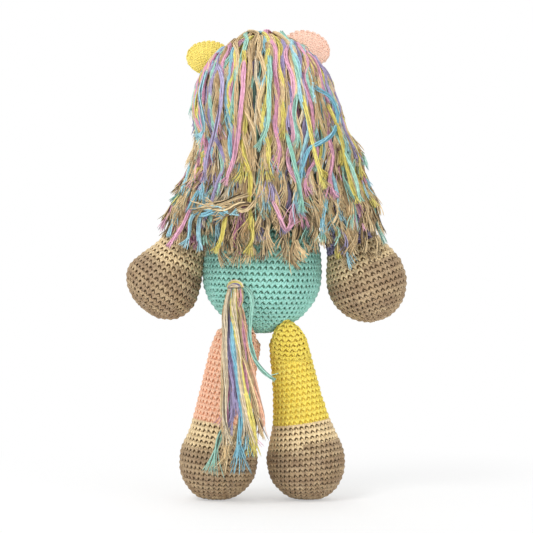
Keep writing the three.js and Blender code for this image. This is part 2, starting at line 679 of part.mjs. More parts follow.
// The tail hangs from a knot on the torso's back, which turns about its own long axis
function makeTail() {
  const knotOut = torsoRadiusAt(tailHeight) + gap + tailKnot.round;
  const angle = Math.asin(tailSide / knotOut);
  const outward = new THREE.Vector3(Math.sin(angle), Math.cos(angle), 0);
  const sideways = new THREE.Vector3(Math.cos(angle), -Math.sin(angle), 0);
  const group = new THREE.Group();
  group.name = "tail_pivot";
  group.position.copy(outward).multiplyScalar(knotOut).setZ(tailHeight);
  const knotProfile = knotAngles.map((step) => [
    tailKnot.wide * Math.sin(degrees(step)), tailKnot.round * Math.max(Math.cos(degrees(step)), 0),
  ]);
  const knot = turned(straightSpine(new THREE.Vector3(), sideways, up), knotProfile, smallSides);
  group.add(piece("tail_knot", knot, "cream"));
  const middle = (tailColours.length - 1) / 2;
  const apart = (share) => sideways.clone().multiplyScalar(tailLock.top)
    .add(new THREE.Vector3((tailLock.fan - tailLock.top) * Math.sqrt(share), 0, 0));
  tailColours.forEach((colour, index) => {
    const place = middle - index;
    const knotDrop = tailKnot.round * Math.sqrt(1 - ((place * tailLock.top) / tailKnot.wide) ** 2);
    const end = tailLock.length * tailEndShares[index];
    const drift = tailDriftShare * tailLock.length;
    const at = (share) => apart(share).multiplyScalar(place)
      .add(new THREE.Vector3(-drift * Math.sqrt(share), 0, 0))
      .setZ(THREE.MathUtils.lerp(-knotDrop - 2 * gap, -end, share));
    const ring = (share, thick) => {
      const across = apart(share);
      const width = across.length() / 2 - gap;
      across.normalize();
      const depth = new THREE.Vector3().crossVectors(up, across);
      return lockSectionShares.map(([sideShare, outShare]) => at(share)
        .addScaledVector(across, sideShare * thick * width)
        .addScaledVector(depth, outShare * thick * tailLock.deep));
    };
    const rings = tailRings.map(([share, thick]) => ring(share, thick));
    group.add(piece(`tail_lock_${index + 1}`, loft(at(0), rings, at(1)), colour));
  });
  return group;
}

function torsoRadiusAt(height) {
  return radiusAt(torsoOutline, height - torsoBottom);
}

const horse = new THREE.Group();
horse.add(
  ...makeTorso(), makeHead(),
  makeArm(1, "left", armLeft, "pink"), makeArm(-1, "right", armRight, "lilac"),
  makeLeg(1, "left", "peach"), makeLeg(-1, "right", "yellow"), makeTail(),
);
const box = new THREE.Box3().setFromObject(horse, true);
const middle = box.getCenter(new THREE.Vector3());
horse.position.set(-middle.x, -middle.y, -box.min.z);

export default horse;
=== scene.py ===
# A crocheted plush horse, seen from behind: stitched skins, a yarn mane and a yarn tail, on a pale floor.

import math

import bpy
import numpy as np
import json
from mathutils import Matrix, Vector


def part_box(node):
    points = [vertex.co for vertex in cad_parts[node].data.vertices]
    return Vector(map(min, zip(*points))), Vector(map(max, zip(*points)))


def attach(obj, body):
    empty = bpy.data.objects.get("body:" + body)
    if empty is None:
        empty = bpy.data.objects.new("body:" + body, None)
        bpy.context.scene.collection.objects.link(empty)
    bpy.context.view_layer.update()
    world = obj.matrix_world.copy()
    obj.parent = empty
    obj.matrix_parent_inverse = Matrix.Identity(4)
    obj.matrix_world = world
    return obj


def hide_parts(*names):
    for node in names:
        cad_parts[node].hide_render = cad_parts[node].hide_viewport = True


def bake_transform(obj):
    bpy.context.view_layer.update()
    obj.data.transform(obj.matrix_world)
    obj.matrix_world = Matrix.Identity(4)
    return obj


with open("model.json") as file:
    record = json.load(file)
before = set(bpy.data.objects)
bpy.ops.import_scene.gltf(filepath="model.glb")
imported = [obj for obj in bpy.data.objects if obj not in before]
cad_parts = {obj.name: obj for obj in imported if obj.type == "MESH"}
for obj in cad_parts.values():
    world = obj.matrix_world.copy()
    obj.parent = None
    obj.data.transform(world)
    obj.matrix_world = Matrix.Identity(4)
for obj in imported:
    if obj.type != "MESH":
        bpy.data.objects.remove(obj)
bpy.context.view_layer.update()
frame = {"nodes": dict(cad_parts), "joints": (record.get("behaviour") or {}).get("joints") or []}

MM = 0.001
TURN = 2 * math.pi
random = np.random.default_rng(27)
joints = {joint["name"]: joint for joint in frame["joints"]}
SIDES = ("left", "right")
# The way each side lies from the middle: the horse's left is +X
SIGN = {"left": 1, "right": -1}
FRONT_BACK = (0, 1, 0)

# Yarn: the crochet's gauges, how deep its cloth and its stitches lie in a skin, and the loose yarn of the
# mane and the tail
GAUGE = 4.33 * MM
LEG_GAUGE = 3.95 * MM
EAR_GAUGE = 2.5 * MM
SKIN_INSET = 1.3 * MM
STITCH_INSET = 0.5 * MM
THREADS = 6
THREAD_RADIUS = 0.53 * MM
THREAD_STEP = 3.3 * MM
BUNDLE_WIDE = 1.15 * MM
BUNDLE_DEEP = 0.72 * MM
BUNDLE_TWIST = 90 * MM
BRUSH_THREADS = 12
BRUSH_RADIUS = 0.38 * MM

# How many points a curve gets: between two given ones, along a spine and along a profile
SPAN_POINTS = 16
SPINE_POINTS = 200
OUTLINE_POINTS = 400

WHITE = (1, 1, 1, 1)
# Colours of the crochet and the sewing yarn, as light and dark shades in sRGB
COLOURS = {
    "mint": ((173, 234, 221), (132, 204, 187)),
    "hoof": ((252, 226, 176), (164, 135, 100)),
    "muzzle": ((226, 206, 170), (194, 168, 132)),
    "pink": ((246, 182, 206), (210, 130, 164)),
    "lilac": ((190, 178, 222), (132, 114, 170)),
    "yellow": ((255, 234, 96), (246, 216, 66)),
    "pale_yellow": ((252, 233, 118), (244, 218, 92)),
    "peach": ((255, 208, 176), (255, 188, 152)),
    "pale_peach": ((255, 217, 197), (252, 200, 174)),
    "brown": ((104, 74, 56), (76, 52, 38)),
}
# Colours of the loose yarn in the mane and the tail
LOOSE_COLOURS = {
    "tan": ((254, 226, 174), (184, 147, 94)),
    "aqua": ((182, 232, 244), (118, 190, 214)),
    "mint": ((186, 236, 218), (136, 202, 182)),
    "pink": ((250, 190, 214), (208, 128, 166)),
    "lilac": ((200, 188, 226), (136, 120, 172)),
    "yellow": ((250, 236, 130), (226, 206, 84)),
    "cream": ((248, 232, 200), (222, 196, 156)),
    "peach": COLOURS["peach"],
}


def joint_place(name):
    """A joint's place in the frame."""
    return np.array(joints[name]["pos_m"])


def corners(name):
    """The lowest and the highest corner of a solid's box."""
    return [np.array(corner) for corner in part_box(name)]


def middle_of(name):
    """The middle of a solid's box."""
    low, high = corners(name)
    return (low + high) / 2


def srgb(colour):
    """A colour of 0 to 255 a channel as the linear values that a shader takes."""
    share = np.array(colour) / 255
    linear = np.where(share <= 0.04045, share / 12.92, ((share + 0.055) / 1.055) ** 2.4)
    return (*linear, 1.0)


def unit(vectors):
    """Vectors divided by their lengths."""
    return vectors / np.maximum(np.linalg.norm(vectors, axis=-1, keepdims=True), 1e-12)


def distances(points):
    """How far each point lies along the line through all of them."""
    return np.concatenate([[0], np.cumsum(np.linalg.norm(np.diff(points, axis=0), axis=1))])


def sampled(wanted, along, points):
    """The points at the wanted distances: each coordinate is read linearly between the known points."""
    return np.stack([np.interp(wanted, along, column) for column in points.T], axis=-1)


def smooth(points, count):
    """A Catmull-Rom curve through points, sampled evenly by distance along it."""
    points = np.asarray(points, float)
    ends = np.vstack([2 * points[0] - points[1], points, 2 * points[-1] - points[-2]])
    share = np.linspace(0, 1, SPAN_POINTS, endpoint=False)[:, None]
    rows = []
    for a, b, c, d in zip(ends[:-3], ends[1:-2], ends[2:-1], ends[3:]):
        rows.append(0.5 * (2 * b + (c - a) * share + (2 * a - 5 * b + 4 * c - d) * share**2
                           + (3 * b - a - 3 * c + d) * share**3))
    curve = np.vstack([*rows, points[-1:]])
    along = distances(curve)
    return sampled(np.linspace(0, along[-1], count), along, curve)


class Spine:
    """A line through points that a profile is carried along. Its sections lie square to it, between the
    fixed direction across and a second one square to that."""

    def __init__(self, points, across):
        self.points = smooth(points, SPINE_POINTS) if len(points) > 2 else np.asarray(points, float)
        self.along = distances(self.points)
        self.length = self.along[-1]
        self.across = np.asarray(across, float)

    def tangent(self, distance):
        """The direction from a point a hundredth of the length before to one a hundredth after."""
        reach = self.length * 0.01
        inside = np.clip(distance, reach, self.length - reach)
        return unit(self.inside(inside + reach) - self.inside(inside - reach))

    def inside(self, distance):
        """The point at a distance between the ends."""
        return sampled(distance, self.along, self.points)

    def at(self, distance):
        """The point at a distance; past the ends it runs straight on."""
        held = np.clip(distance, 0, self.length)
        return self.inside(held) + (distance - held)[..., None] * self.tangent(held)


class Skin:
    """A surface: a profile of (distance along the spine, radius) turned around the spine, as an oval that is
    wide along across and deep square to it. A place on it is the distance v along the profile's own outline
    and the turn u around it."""

    def __init__(self, spine, profile, wide=1.0, deep=1.0):
        self.spine, self.wide, self.deep = spine, wide, deep
        self.outline = smooth(profile, OUTLINE_POINTS)
        self.outline[:, 1] = np.maximum(self.outline[:, 1], 0)
        self.v = distances(self.outline)
        self.length = self.v[-1]

    def profile(self, v):
        """The distance along the spine and the radius at v."""
        return [np.interp(v, self.v, column) for column in self.outline.T]

    def at(self, v, u):
        """The spine's point, plus the radius times the cosine of u across and its sine square to that."""
        distance, radius = self.profile(v)
        centre = self.spine.at(distance)
        tangent = self.spine.tangent(distance)
        across = np.broadcast_to(self.spine.across, tangent.shape)
        second = unit(np.cross(tangent, across))
        return (centre + (radius * self.wide * np.cos(u))[..., None] * across
                + (radius * self.deep * np.sin(u))[..., None] * second)

    def frame(self, v, u):
        """The point at (v, u), and the directions around, onwards along the profile, and outwards."""
        reach = 0.4 * MM
        low, high = np.clip(v - reach, 0, self.length), np.clip(v + reach, 0, self.length)
        onwards = unit(self.at(high, u) - self.at(low, u))
        around = unit(self.at(v, u + 0.01) - self.at(v, u - 0.01))
        outwards = unit(np.cross(around, onwards))
        distance, _ = self.profile(np.clip(v, 0.05 * self.length, 0.95 * self.length))
        centre = self.spine.at(distance)
        point = self.at(v, u)
        away = np.sign(np.sum((point - centre) * outwards, axis=-1, keepdims=True))
        return point, around, onwards, outwards * np.where(away == 0, 1, away)

    def around_length(self, v):
        """Ramanujan's length of the oval section at v."""
        _, radius = self.profile(v)
        a, b = radius * self.wide, radius * self.deep
        return math.pi * (3 * (a + b) - np.sqrt((3 * a + b) * (a + 3 * b)))


def new_object(name, data):
    """An object with the data, put into the scene."""
    made = bpy.data.objects.new(name, data)
    bpy.context.scene.collection.objects.link(made)
    return made


class Mesh:
    """Collects closed surfaces as numpy arrays and makes one object of them. Every point carries its place on
    its yarn (cosine and sine around it, and distance along it), a tint between its yarn's two shades, and a
    shade that carries painted shade: it is low where a stitch goes under and where loose yarn lies deep."""

    def __init__(self):
        self.surfaces = []
        self.count = 0

    def add(self, points, quads, triangles, ply, tint, shade):
        """Keeps a surface, with its corners' numbers moved on past the points that are already there."""
        self.surfaces.append((points, quads + self.count, triangles + self.count, ply, tint, shade))
        self.count += len(points)

    def make(self, name, material, floor=None):
        """The object. A floor is a height that no point lies below."""
        points, quads, triangles, ply, tint, shade = (np.concatenate(part) for part in zip(*self.surfaces))
        if floor is not None:
            points[:, 2] = np.maximum(points[:, 2], floor)
        data = bpy.data.meshes.new(name)
        data.vertices.add(len(points))
        data.vertices.foreach_set("co", points.astype(np.float32).ravel())
        corner_points = np.concatenate([quads.ravel(), triangles.ravel()])
        starts = np.concatenate([np.arange(len(quads)) * 4, len(quads) * 4 + np.arange(len(triangles)) * 3])
        data.loops.add(len(corner_points))
        data.loops.foreach_set("vertex_index", corner_points.astype(np.int32))
        data.polygons.add(len(starts))
        data.polygons.foreach_set("loop_start", starts.astype(np.int32))
        data.update(calc_edges=True)
        data.validate()
        data.shade_smooth()
        for key, kind, field, values in (
                ("tint", "FLOAT", "value", tint), ("shade", "FLOAT", "value", shade),
                ("ply", "FLOAT_VECTOR", "vector", ply)):
            carried = data.attributes.new(key, kind, "POINT")
            carried.data.foreach_set(field, values.astype(np.float32).ravel())
        data.materials.append(material)
        return new_object(name, data)


def ring_faces(bands, sides):
    """Faces over rings of points: quads from each ring to the next, and triangles from the first ring to
    point 0, which comes before all rings, and from the last ring to the point that comes after them."""
    band, side = np.meshgrid(np.arange(bands - 1), np.arange(sides), indexing="ij")
    here = 1 + band * sides + side
    beside = 1 + band * sides + (side + 1) % sides
    quads = np.stack([here, beside, beside + sides, here + sides], axis=-1).reshape(-1, 4)
    side = np.arange(sides)
    after = (side + 1) % sides
    last = 1 + (bands - 1) * sides
    start = np.stack([np.zeros(sides, int), 1 + after, 1 + side], axis=-1)
    end = np.stack([np.full(sides, last + sides), last + side, last + after], axis=-1)
    return quads, np.concatenate([start, end])


def add_tubes(mesh, paths, radii, normals, sides, tint, shade, flat=1.0):
    """Many closed tubes of the same number of rings. A ring's point is the path's point plus the radius times
    the cosine of a turn along the normal, and its sine, times flat, square to that. The path's own first and
    last points close the tube."""
    tubes, rings, _ = paths.shape
    bands = rings - 2
    tangents = unit(np.gradient(paths, axis=1))
    first = unit(normals - np.sum(normals * tangents, axis=-1, keepdims=True) * tangents)
    second = np.cross(tangents, first)
    turn = np.arange(sides) * TURN / sides
    shaped = (np.cos(turn)[:, None] * first[:, 1:-1, None, :]
              + flat * np.sin(turn)[:, None] * second[:, 1:-1, None, :])
    body = paths[:, 1:-1, None, :] + radii[:, 1:-1, None, None] * shaped
    points = np.concatenate([paths[:, :1], body.reshape(tubes, bands * sides, 3), paths[:, -1:]], axis=1)
    base = (np.arange(tubes) * points.shape[1])[:, None, None]
    quads, triangles = ring_faces(bands, sides)
    along = np.concatenate(
        [np.zeros((tubes, 1)), np.cumsum(np.linalg.norm(np.diff(paths, axis=1), axis=2), axis=1)], axis=1)
    around = np.stack([np.cos(turn), np.sin(turn)], axis=-1)
    middle = np.concatenate([
        np.broadcast_to(around, (tubes, bands, sides, 2)),
        np.broadcast_to(along[:, 1:-1, None, None], (tubes, bands, sides, 1)),
    ], axis=-1).reshape(tubes, bands * sides, 3)

    def end_ply(distance):
        """The place on the yarn at a tube's end: the cosine 1, the sine 0 and the distance."""
        return np.stack([np.ones(tubes), np.zeros(tubes), distance], axis=-1)[:, None]

    def spread(values):
        """A value for each point from one for each ring: once at both ends, else once for each side."""
        values = np.broadcast_to(values, (tubes, rings))
        inner = np.repeat(values[:, 1:-1], sides, axis=1)
        return np.concatenate([values[:, :1], inner, values[:, -1:]], axis=1).ravel()

    ply = np.concatenate([end_ply(along[:, 0]), middle, end_ply(along[:, -1])], axis=1)
    mesh.add(points.reshape(-1, 3), (base + quads).reshape(-1, 4), (base + triangles).reshape(-1, 3),
             ply.reshape(-1, 3), spread(tint), spread(shade))


def add_grid(mesh, rings, tint, shade):
    """A closed surface from rings of points, closed by the middle of its first and last ring. Its faces are
    turned round where they point inwards, on the sum of their directions times their way from the middle."""
    points = np.concatenate([rings[0].mean(0)[None], rings.reshape(-1, 3), rings[-1].mean(0)[None]])
    quads, triangles = ring_faces(*rings.shape[:2])
    a, b, c = (points[quads[:, k]] for k in range(3))
    if np.sum(np.cross(b - a, c - a) * (a - points.mean(0))) < 0:
        quads, triangles = quads[:, ::-1], triangles[:, ::-1]
    ply = np.tile([1.0, 0.0, 0.0], (len(points), 1))
    mesh.add(points, quads, triangles, ply, np.full(len(points), tint), np.full(len(points), shade))


# A stitch is two legs that part downwards like an arch, and a bead of yarn low between them, each drawn as
# a stroke with six or five places from low to high. side is a share of the stitch's width, up, out and
# thick are shares of the gauge, and light is painted shade: it is low where the yarn goes under.
STITCH_LEG = {
    "side": np.array([0.52, 0.52, 0.48, 0.34, 0.18, 0.06]),
    "up": np.array([-0.6, -0.38, -0.05, 0.2, 0.42, 0.6]),
    "out": np.array([-0.3, 0.0, 0.1, 0.13, 0.04, -0.3]),
    "thick": np.array([0.0, 0.12, 0.14, 0.185, 0.2, 0.0]),
    "light": np.array([0.3, 0.75, 0.95, 1.0, 0.9, 0.4]),
}
STITCH_BEAD = {
    "side": np.array([-0.1, -0.1, -0.06, -0.02, 0.0]),
    "up": np.array([-0.62, -0.48, -0.36, -0.26, -0.17]),
    "out": np.array([-0.2, 0.02, 0.04, -0.02, -0.25]),
    "thick": np.array([0.0, 0.14, 0.145, 0.12, 0.0]),
    "light": np.array([0.4, 1.0, 1.1, 0.9, 0.4]),
}
STROKE_FLAT = 1.2
STROKE_SIDES = 5
# Each stitch stands a share of its width on from the one below, leans, and has one leg a little higher
LEAN = 0.12
TILT = 0.06
LEG_SKEW = 0.03
# How unevenly the stitches are worked, as the spread of each chance
UNEVEN = {"aside": 0.045, "size": 0.07, "tilt": 0.05, "lift": 0.03, "light": 0.05, "tint": 0.1}
# The ring of yarn along each round, in shares of the gauge, how far it laps over its own start, and the light
# its painted shade leaves
RIDGE_UP = 0.35
RIDGE_OUT = -0.03
RIDGE_THICK = 0.24
RIDGE_STEPS = 72
RIDGE_TURN = 1.02 * TURN
RIDGE_TAPER = 30
RIDGE_LIGHT = 0.9


def add_stitches(mesh, skin, start, end, gauge, tint, up=1, relief=1.0, keep=None):
    """Rounds of crochet on a skin from v = start to end, one gauge apart. A round has as many stitches as
    its length holds, each turned on from the round before by a lean, and each stitch is three closed
    strokes: two legs and a bead. A ring of yarn along the top of the round ties them. up is 1 where v runs
    upwards and -1 where it runs down, relief scales how far the stitches stand out, and keep picks stitches
    by their place."""
    count = max(round((end - start) / gauge), 1)
    step = (end - start) / count
    all_v, all_u, widths = [], [], []
    phase = 0.0
    places = start + (np.arange(count) + 0.5) * step
    for place in places:
        around = float(skin.around_length(np.array([place]))[0])
        number = max(round(around / gauge), 4)
        phase += LEAN * TURN / number
        all_v.append(np.full(number, place))
        all_u.append(np.arange(number) * TURN / number + phase)
        widths.append(np.full(number, around / number))
    v, u, width = np.concatenate(all_v), np.concatenate(all_u), np.concatenate(widths)
    point, around, onwards, outwards = skin.frame(v, u)
    if keep is not None:
        kept = keep(point)
        v, u, width, point, around, onwards, outwards = (
            part[kept] for part in (v, u, width, point, around, onwards, outwards))
    total = len(v)

    def tint_at(v, u):
        """The same tint everywhere, or what a function gives for the round and the turn."""
        return tint((v - start) / step, u) if callable(tint) else np.full(v.shape, tint)

    aside = random.normal(0, UNEVEN["aside"] * gauge, (total, 1))
    point = point + aside * around - STITCH_INSET * relief * outwards
    size = random.normal(1, UNEVEN["size"], (total, 1))
    tilt = random.normal(TILT, UNEVEN["tilt"], (total, 1))
    lift = random.normal(0, UNEVEN["lift"] * gauge, (total, 1))
    light = np.clip(random.normal(1, UNEVEN["light"], (total, 1)), 0.85, 1.1)
    tints = np.clip(tint_at(v, u) + random.normal(0, UNEVEN["tint"], total), 0, 1)
    for stroke, side in ((STITCH_LEG, 1), (STITCH_LEG, -1), (STITCH_BEAD, 1)):
        sideways = side * stroke["side"] * width[:, None] + tilt * stroke["up"] * gauge
        upward = up * (stroke["up"] * step + side * LEG_SKEW * gauge)
        outward = relief * stroke["out"] * gauge + lift
        paths = (point[:, None] + sideways[..., None] * around[:, None] + upward[..., None] * onwards[:, None]
                 + outward[..., None] * outwards[:, None])
        radii = stroke["thick"] * size * np.minimum(width[:, None], gauge)
        normals = np.broadcast_to(outwards[:, None], paths.shape)
        # The strokes' shade: each stitch's own tone by chance, times the painted shade along the stroke
        add_tubes(mesh, paths, radii, normals, STROKE_SIDES, tints[:, None], light * stroke["light"],
                  STROKE_FLAT)
    ridge_v, ridge_u = np.meshgrid(np.clip(places + up * RIDGE_UP * step, 0, skin.length),
                                   np.linspace(0, RIDGE_TURN, RIDGE_STEPS), indexing="ij")
    ridge, _, _, outwards = skin.frame(ridge_v, ridge_u)
    _, radius = skin.profile(ridge_v)
    thick = np.minimum(RIDGE_THICK * gauge, 0.4 * radius) * (0.5 + 0.5 * relief)
    thick = thick * np.clip(np.minimum(ridge_u, RIDGE_TURN - ridge_u) * RIDGE_TAPER, 0, 1)
    paths = ridge + (RIDGE_OUT * gauge - STITCH_INSET) * relief * outwards
    add_tubes(mesh, paths, thick, outwards, STROKE_SIDES, tint_at(ridge_v, ridge_u), RIDGE_LIGHT)


def add_under_skin(mesh, skin, start, end, inset, tint, sides=48, step=3.2 * MM, shade=0.05):
    """The cloth behind the stitches, darkened by painted shade: the skin itself from v = start to end, moved
    in by an inset. A pole of the skin is left to the grid's own end."""
    count = max(int((end - start) / step), 4)
    v = np.linspace(start, end, count + 1)
    if start == 0:
        v = v[1:]
    if end == skin.length:
        v = v[:-1]
    grid_v, grid_u = np.meshgrid(v, np.arange(sides) * TURN / sides, indexing="ij")
    point, _, _, outwards = skin.frame(grid_v, grid_u)
    _, radius = skin.profile(grid_v)
    depth = np.minimum(inset, 0.6 * radius * min(skin.wide, skin.deep))
    add_grid(mesh, point - depth[..., None] * outwards, tint, shade)


def node(tree, kind, **values):
    """A new node. in_NAME sets the input socket NAME, and any other name sets the node's own value."""
    made = tree.nodes.new(kind)
    for key, value in values.items():
        if key.startswith("in_"):
            made.inputs[key[3:].replace("_", " ")].default_value = value
        else:
            setattr(made, key, value)
    return made


def feed(tree, value, socket):
    """Give an input a socket to read, or a plain value."""
    if isinstance(value, bpy.types.NodeSocket):
        tree.links.new(value, socket)
    else:
        socket.default_value = value


def mixed(tree, factor, first, second, blend="MIX"):
    """A colour mix node's result socket. Each side is a socket or a colour, and the factor a socket or
    number."""
    mix = node(tree, "ShaderNodeMix", data_type="RGBA", blend_type=blend, clamp_factor=True)
    for index, value in ((0, factor), (6, first), (7, second)):
        feed(tree, value, mix.inputs[index])
    return mix.outputs[2]


def math_node(tree, operation, *values):
    """The result of a sum on sockets and numbers."""
    made = node(tree, "ShaderNodeMath", operation=operation)
    for index, value in enumerate(values):
        feed(tree, value, made.inputs[index])
    return made.outputs[0]


def new_material(name, roughness):
    """A material, with its node tree and its shader."""
    material = bpy.data.materials.new(name)
    material.use_nodes = True
    shader = material.node_tree.nodes["Principled BSDF"]
    shader.inputs["Roughness"].default_value = roughness
    return material, material.node_tree, shader


def object_place(tree):
    """The place in the object's own coordinates."""
    return node(tree, "ShaderNodeTexCoord").outputs["Object"]


def noise_at(tree, place, **values):
    """A noise's level at a place."""
    noise = node(tree, "ShaderNodeTexNoise", **values)
    tree.links.new(place, noise.inputs["Vector"])
    return noise.outputs["Fac"]


def attribute(tree, name, output):
    """What the mesh carries under a name, as a vector or a number."""
    return node(tree, "ShaderNodeAttribute", attribute_name=name).outputs[output]


def add_bump(tree, shader, height, strength, distance):
    """Fine relief on a shader's surface by a height."""
    bump = node(tree, "ShaderNodeBump", in_Strength=strength, in_Distance=distance)
    tree.links.new(height, bump.inputs["Height"])
    tree.links.new(bump.outputs["Normal"], shader.inputs["Normal"])


def yarn_material(name, shades, deep, twist=2.6 * MM, groove=0.22):
    """Twisted cotton yarn: two shades mixed by tint, with painted shade where a stitch goes under, and with
    the slanted lines of its plies and fine fibres, as bumps and as painted shade in the plies' grooves. A
    line is the sine of the turn around the yarn plus a whole turn for each twist's length along it. deep is
    the share of light that the painted shade leaves in the holes, and groove how dark the painted shade in
    the lines is."""
    light, dark = (srgb(shade) for shade in shades)
    material, tree, shader = new_material(name, 0.88)
    shader.inputs["Sheen Weight"].default_value = 0.12
    shader.inputs["Sheen Roughness"].default_value = 0.5
    shader.inputs["Specular IOR Level"].default_value = 0.25
    place = object_place(tree)
    parts = node(tree, "ShaderNodeSeparateXYZ")
    tree.links.new(attribute(tree, "ply", "Vector"), parts.inputs[0])
    angle = math_node(tree, "ARCTAN2", parts.outputs["Y"], parts.outputs["X"])
    along = math_node(tree, "MULTIPLY", parts.outputs["Z"], TURN / twist)
    wave = math_node(tree, "SINE", math_node(tree, "ADD", angle, along))
    line = math_node(tree, "MULTIPLY_ADD", wave, 0.5, 0.5)
    fibre = noise_at(tree, place, in_Scale=2600.0, in_Detail=3.0, in_Roughness=0.6)
    patch = noise_at(tree, place, in_Scale=90.0, in_Detail=2.0)
    two = mixed(tree, attribute(tree, "tint", "Fac"), light, dark)
    worn = mixed(tree, math_node(tree, "MULTIPLY", patch, 0.1), two, WHITE)
    # Painted shade: the colour darkened and warmed by deep where the shade attribute is low
    under = mixed(tree, 1.0, worn, (deep, deep * 0.9, deep * 0.78, 1), "MULTIPLY")
    sunk = mixed(tree, attribute(tree, "shade", "Fac"), under, worn)
    # Painted shade in the grooves of the plies' lines, and fibres that differ in tone by chance
    grooved = math_node(tree, "MULTIPLY_ADD", line, groove, 0.97 - groove / 2)
    speckle = math_node(tree, "MULTIPLY_ADD", fibre, 0.3, 0.85)
    total = math_node(tree, "MULTIPLY", grooved, speckle)
    level = node(tree, "ShaderNodeCombineColor")
    for channel in range(3):
        tree.links.new(total, level.inputs[channel])
    tree.links.new(mixed(tree, 1.0, sunk, level.outputs[0], "MULTIPLY"), shader.inputs["Base Color"])
    height = math_node(tree, "ADD", line, math_node(tree, "MULTIPLY", fibre, 0.8))
    add_bump(tree, shader, height, 0.55, 0.35 * MM)
    return material


def plain_material(name, colour, roughness, bump_scale, bump_height):
    """A solid colour with a fine uneven surface."""
    material, tree, shader = new_material(name, roughness)
    noise = noise_at(tree, object_place(tree), in_Scale=bump_scale, in_Detail=4.0)
    darker = tuple(0.86 * channel for channel in srgb(colour)[:3]) + (1.0,)
    tree.links.new(mixed(tree, noise, darker, srgb(colour)), shader.inputs["Base Color"])
    add_bump(tree, shader, noise, 0.4, bump_height)
    return material


# How much light the painted shade leaves the yarn in the holes between stitches: some colours, the rest, and
# the loose yarn
HOLES = {"mint": 0.55, "yellow": 0.8, "peach": 0.86, "hoof": 0.38, "pale_yellow": 0.9, "pale_peach": 0.9}
OTHER_HOLES = 0.42
LOOSE_HOLES = 0.08
YARN = {name: yarn_material(f"{name}_yarn", shades, HOLES.get(name, OTHER_HOLES))
        for name, shades in COLOURS.items()}
LOOSE = {name: yarn_material(f"{name}_loose_yarn", shades, LOOSE_HOLES, 5 * MM, 0.2)
         for name, shades in LOOSE_COLOURS.items()}

# Places taken from the frame. Profiles are given as shares of a piece's length and of its radius.
neck = joint_place("head_nod")
torso_low, torso_high = corners("torso_shell")
head_low, head_high = corners("head_shell")
TORSO_RADIUS = (torso_high[0] - torso_low[0]) / 2
TORSO_HEIGHT = neck[2] - torso_low[2]
TORSO_SHARES = [
    (0, 0), (0.01, 0.17), (0.03, 0.32), (0.065, 0.49), (0.11, 0.655), (0.175, 0.81), (0.24, 0.915),
    (0.315, 0.985), (0.4, 1), (0.52, 0.985), (0.65, 0.92), (0.78, 0.8), (0.885, 0.645), (0.955, 0.5),
    (0.995, 0.39),
]
TORSO_LEAN = 2.4 * MM
NECK_RADIUS = 14 * MM
NECK_ANGLES = [72, 54, 36, 18, 0]
HEAD_RADIUS = (head_high[0] - head_low[0]) / 2
HEAD_RISE = 54 * MM
head_centre = neck + (0, 0, HEAD_RISE)
# Where the head turns in, in degrees from its top, and the hollow that lies around the neck's ball
HEAD_RIM = 164
HOLLOW_ANGLES = [38, 22, 0]
HOLLOW_GAP = 1.8 * MM


def arc(radius, angles, centre=0.0):
    """Profile points on a circle: the angle is counted from the spine's onward direction."""
    turn = np.radians(angles)
    return list(zip(centre + radius * np.cos(turn), radius * np.sin(turn)))


def finish_piece(piece, body, nodes):
    """Attaches a piece to its body's empty and hides the solids that it stands for."""
    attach(piece, body)
    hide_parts(*nodes)


def crochet(name, skin, colour, gauge, under, tint, up=1, keep=None, **cloth):
    """A piece of crochet over a whole skin, with the cloth behind its stitches in the under tint and painted
    shade.
    """
    mesh = Mesh()
    add_under_skin(mesh, skin, 0, skin.length, SKIN_INSET, under, **cloth)
    add_stitches(mesh, skin, 0, skin.length, gauge, tint, up, keep=keep)
    return mesh.make(name, YARN[colour])


def make_torso():
    """An egg on a slightly leaning spine that narrows to the ball of the neck."""
    spine = Spine([(neck[0] + TORSO_LEAN, neck[1], torso_low[2]), neck], FRONT_BACK)
    profile = [(s * TORSO_HEIGHT, r * TORSO_RADIUS) for s, r in TORSO_SHARES]
    skin = Skin(spine, profile + arc(NECK_RADIUS, NECK_ANGLES, TORSO_HEIGHT))
    piece = crochet("torso", skin, "mint", GAUGE, 0.6, 0.35)
    finish_piece(piece, "torso", ["torso_shell"])


# The muzzle points forward and a little down from the head's centre
MUZZLE_RADIUS = 24 * MM
MUZZLE_TALL_SHARE = 0.82
MUZZLE_DEPTH = 30 * MM
MUZZLE_REACH = 20 * MM
MUZZLE_DROOP = math.radians(16)
MUZZLE_SHARES = [
    (0, 0), (0.03, 0.3), (0.1, 0.55), (0.22, 0.78), (0.4, 0.94), (0.6, 1), (0.8, 1.02), (1, 1.02),
]
muzzle_ahead = np.array([0, -math.cos(MUZZLE_DROOP), -math.sin(MUZZLE_DROOP)])
muzzle_tip = head_centre + (HEAD_RADIUS + MUZZLE_REACH) * muzzle_ahead
muzzle_up = np.cross((1, 0, 0), -muzzle_ahead)


def make_head():
    """A ball worked from its top down, with a hollow below around the ball of the neck. No stitch is made
    where the muzzle covers it."""
    top = head_centre + (0, 0, HEAD_RADIUS)
    spine = Spine([top, head_centre - (0, 0, HEAD_RADIUS)], FRONT_BACK)
    profile = [(HEAD_RADIUS - s, r) for s, r in arc(HEAD_RADIUS, np.linspace(0, HEAD_RIM, 14))]
    profile += [(HEAD_RADIUS + HEAD_RISE - s, r) for s, r in arc(NECK_RADIUS + HOLLOW_GAP, HOLLOW_ANGLES)]

    def outside_muzzle(points):
        """True outside an oval around the muzzle's axis, where the squares of the shares of its two radii
        add up to more than 0.75, and everywhere behind the head's middle."""
        away = points - head_centre
        side, rise = away[:, 0] / MUZZLE_RADIUS, away @ muzzle_up / (MUZZLE_RADIUS * MUZZLE_TALL_SHARE)
        return (side**2 + rise**2 > 0.75) | (away @ muzzle_ahead < 0)

    piece = crochet("head", Skin(spine, profile), "mint", GAUGE, 0.6, 0.35, -1, outside_muzzle)
    finish_piece(piece, "head", ["head_shell"])


